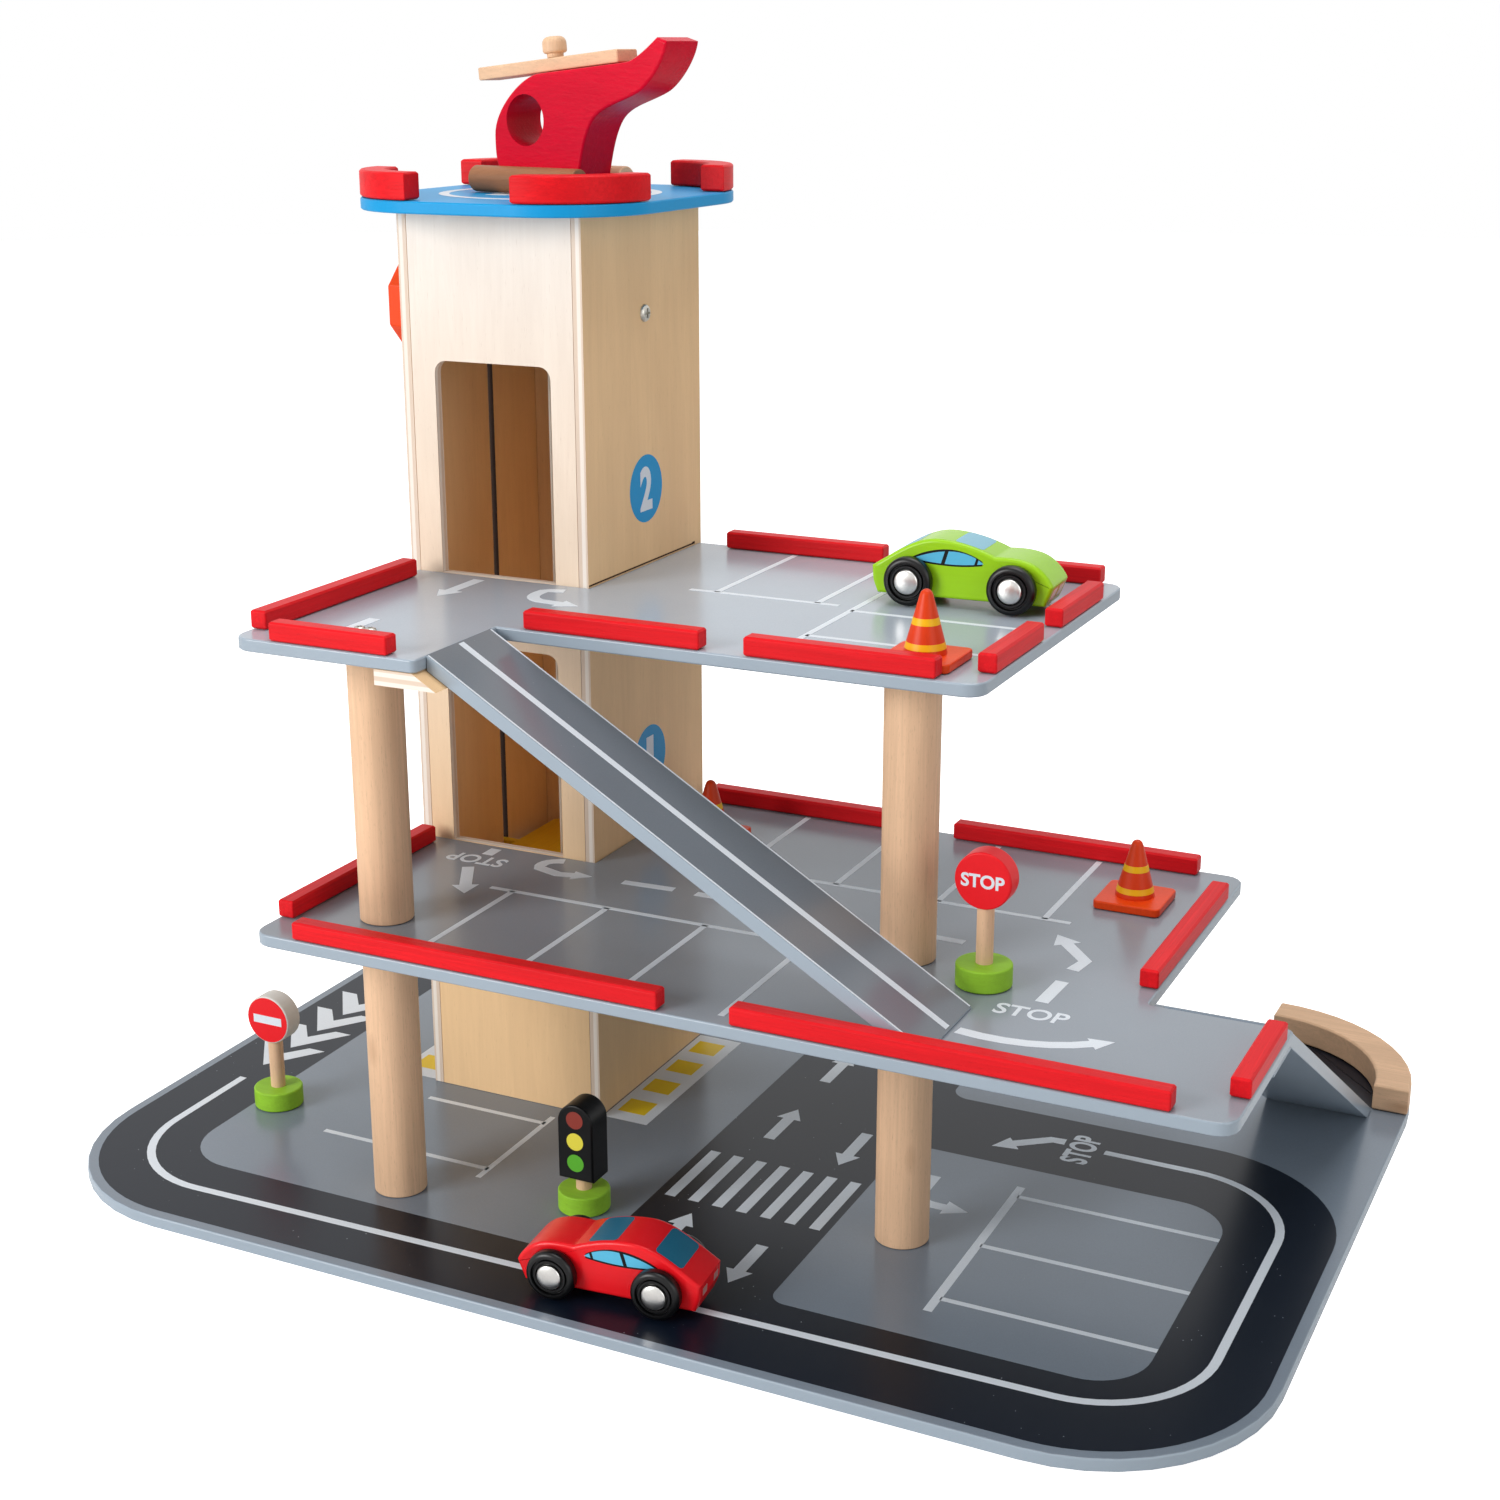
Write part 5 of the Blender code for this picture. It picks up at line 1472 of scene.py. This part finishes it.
class GARAGE_OT_cones(bpy.types.Operator):
    """Turn the three cones and their yellow bands"""

    bl_idname = "garage.cones"
    bl_label = "Cones"

    def execute(self, context):
        foot, tip, plate, tall = 9.2, 2.6, 4.0, 31.4
        collar, shoulder = plate + 1.2, tall - tip
        sunk, proud = -0.3, 0.05
        deep_orange = orange_paint("deep_orange", colours().deep_orange)
        yellow = satin_paint("band_yellow", linear("f2b914"), 0.38)

        def side(height):
            return foot + (tip * 1.1 - foot) * (height - collar) / (shoulder - collar)

        profile = [(0, plate / 2), (foot, plate / 2), (foot, plate + 0.6), (foot - 0.2, collar)]
        profile += [(side(plate + 3), plate + 3), (side(shoulder), shoulder)]
        profile += [*soft_corner(0, shoulder - 0.2, tip * 1.04, 20, 90, 5)[:-1], (0, tall)]
        for node in ("cone_upper_deck", "cone_middle_deck_right", "cone_middle_deck_back"):
            place, half, _ = standing(node)
            shape = slab(box_outline(-half, -half, half, half, 3, 6), 0, plate, 0.8)
            publish(f"{node}_plate", mesh_of("plate", shape, place), orange_paint(), node)
            mesh = mesh_of("cone", turned(profile, 48), place)
            publish(f"{node}_turning", mesh, deep_orange, node, stands_for=False)
            for label, start, end in (("lower", 6.4, 9.1), ("upper", 16.6, 19.5)):
                corners = ((start, sunk), (start, proud), (end, proud), (end, sunk))
                band = [(side(height) + out, height) for height, out in corners]
                laid(f"{node}_{label}_band", mesh_of("band", turned(band, 48), place), yellow, node)
        return {"FINISHED"}


CAMERA_PLACE = (0.45253, -0.96088, 0.52997)
CAMERA_TURNS = (("Z", 25.638), ("X", 72.811), ("Z", -0.062))
CAMERA_LENS = 54.47


def light(name, place, size, power):
    """A round white lamp that looks at the middle of the garage."""
    lamp = bpy.data.lights.new(name, "AREA")
    lamp.shape = "DISK"
    lamp.size = size
    lamp.energy = power
    thing = helper(name, lamp)
    thing.location = place
    garage_middle = Vector((0, 0, 0.2))
    thing.rotation_euler = (garage_middle - Vector(place)).to_track_quat("-Z", "Y").to_euler()


class GARAGE_OT_stage(bpy.types.Operator):
    """Set the pale floor, the soft lamps, the world and the camera"""

    bl_idname = "garage.stage"
    bl_label = "Stage"

    def execute(self, context):
        scene = context.scene
        scene.view_settings.view_transform = "Standard"

        def paint_floor(tree):
            return {"Base Color": (0.92, 0.92, 0.92, 1)}

        floor = helper("floor", mesh_of("floor", slab(disc(6000, 96), -20, -0.2)))
        base = material("pale_floor", paint_floor, roughness=0.9)
        tree = base.node_tree
        shader = next(node for node in tree.nodes if node.type == "BSDF_PRINCIPLED")
        path = add(tree, "ShaderNodeLightPath").outputs
        glow = add(tree, "ShaderNodeEmission", {"Color": (1, 1, 1, 1), "Strength": 0.8})
        both = add(tree, "ShaderNodeAddShader", {0: shader, 1: glow})
        seen = add(tree, "ShaderNodeMixShader", {0: path["Is Camera Ray"], 1: shader, 2: both})
        output = next(node for node in tree.nodes if node.type == "OUTPUT_MATERIAL")
        tree.links.new(seen.outputs[0], output.inputs["Surface"])
        floor.data.materials.append(base)

        world = bpy.data.worlds.new("Studio")
        world.use_nodes = True
        tree = world.node_tree
        tree.nodes.clear()
        path = add(tree, "ShaderNodeLightPath").outputs
        direct = maths(tree, "MAXIMUM", path["Is Camera Ray"], path["Is Glossy Ray"])
        through = maths(tree, "MAXIMUM", direct, path["Is Transmission Ray"])
        soft = add(tree, "ShaderNodeBackground", {"Color": (1, 1, 1, 1), "Strength": 0.31})
        white = add(tree, "ShaderNodeBackground", {"Color": (1, 1, 1, 1), "Strength": 1.0})
        both = add(tree, "ShaderNodeMixShader", {0: through, 1: soft, 2: white})
        add(tree, "ShaderNodeOutputWorld", {"Surface": both})
        scene.world = world

        light("key_softbox", (-1.2, -1.9, 1.0), 1.3, 39)
        light("top_softbox", (0.2, 0.1, 2.3), 1.6, 25)
        light("fill_softbox", (2.2, -0.9, 0.9), 1.4, 9)

        camera = bpy.data.cameras.new("photo_camera")
        camera.sensor_width = 36
        camera.lens = CAMERA_LENS
        thing = helper("photo_camera", camera)
        thing.location = CAMERA_PLACE
        turn = Matrix.Identity(3)
        for axis, degrees in CAMERA_TURNS:
            turn = turn @ Matrix.Rotation(math.radians(degrees), 3, axis)
        thing.rotation_euler = turn.to_euler()
        scene.camera = thing
        return {"FINISHED"}


class GARAGE_PT_panel(bpy.types.Panel):
    """Lists the steps that finish the garage"""

    bl_idname = "GARAGE_PT_panel"
    bl_label = "Toy garage"
    bl_space_type = "VIEW_3D"
    bl_region_type = "UI"
    bl_category = "Garage"

    def draw(self, context):
        for step in STEPS:
            self.layout.operator(step.bl_idname)
        for group in (context.scene.garage_sizes, context.scene.garage_colours):
            box = self.layout.box()
            for name in group.__annotations__:
                box.prop(group, name)


STEPS = (
    GARAGE_OT_boards,
    GARAGE_OT_ground_print,
    GARAGE_OT_deck_print,
    GARAGE_OT_ramp_print,
    GARAGE_OT_pad_print,
    GARAGE_OT_curbs,
    GARAGE_OT_posts,
    GARAGE_OT_tower,
    GARAGE_OT_lift,
    GARAGE_OT_screws,
    GARAGE_OT_helicopter,
    GARAGE_OT_cars,
    GARAGE_OT_signs,
    GARAGE_OT_traffic_light,
    GARAGE_OT_cones,
    GARAGE_OT_stage,
)
CLASSES = (GarageSizes, GarageColours, *STEPS, GARAGE_PT_panel)


def register():
    for group in CLASSES:
        bpy.utils.register_class(group)
    bpy.types.Scene.garage_sizes = PointerProperty(type=GarageSizes)
    bpy.types.Scene.garage_colours = PointerProperty(type=GarageColours)


def unregister():
    del bpy.types.Scene.garage_colours
    del bpy.types.Scene.garage_sizes
    for group in reversed(CLASSES):
        bpy.utils.unregister_class(group)


def main():
    """Runs every step in order."""
    register()
    for step in STEPS:
        group, name = step.bl_idname.split(".")
        getattr(getattr(bpy.ops, group), name)()


if __name__ == "__main__":
    main()
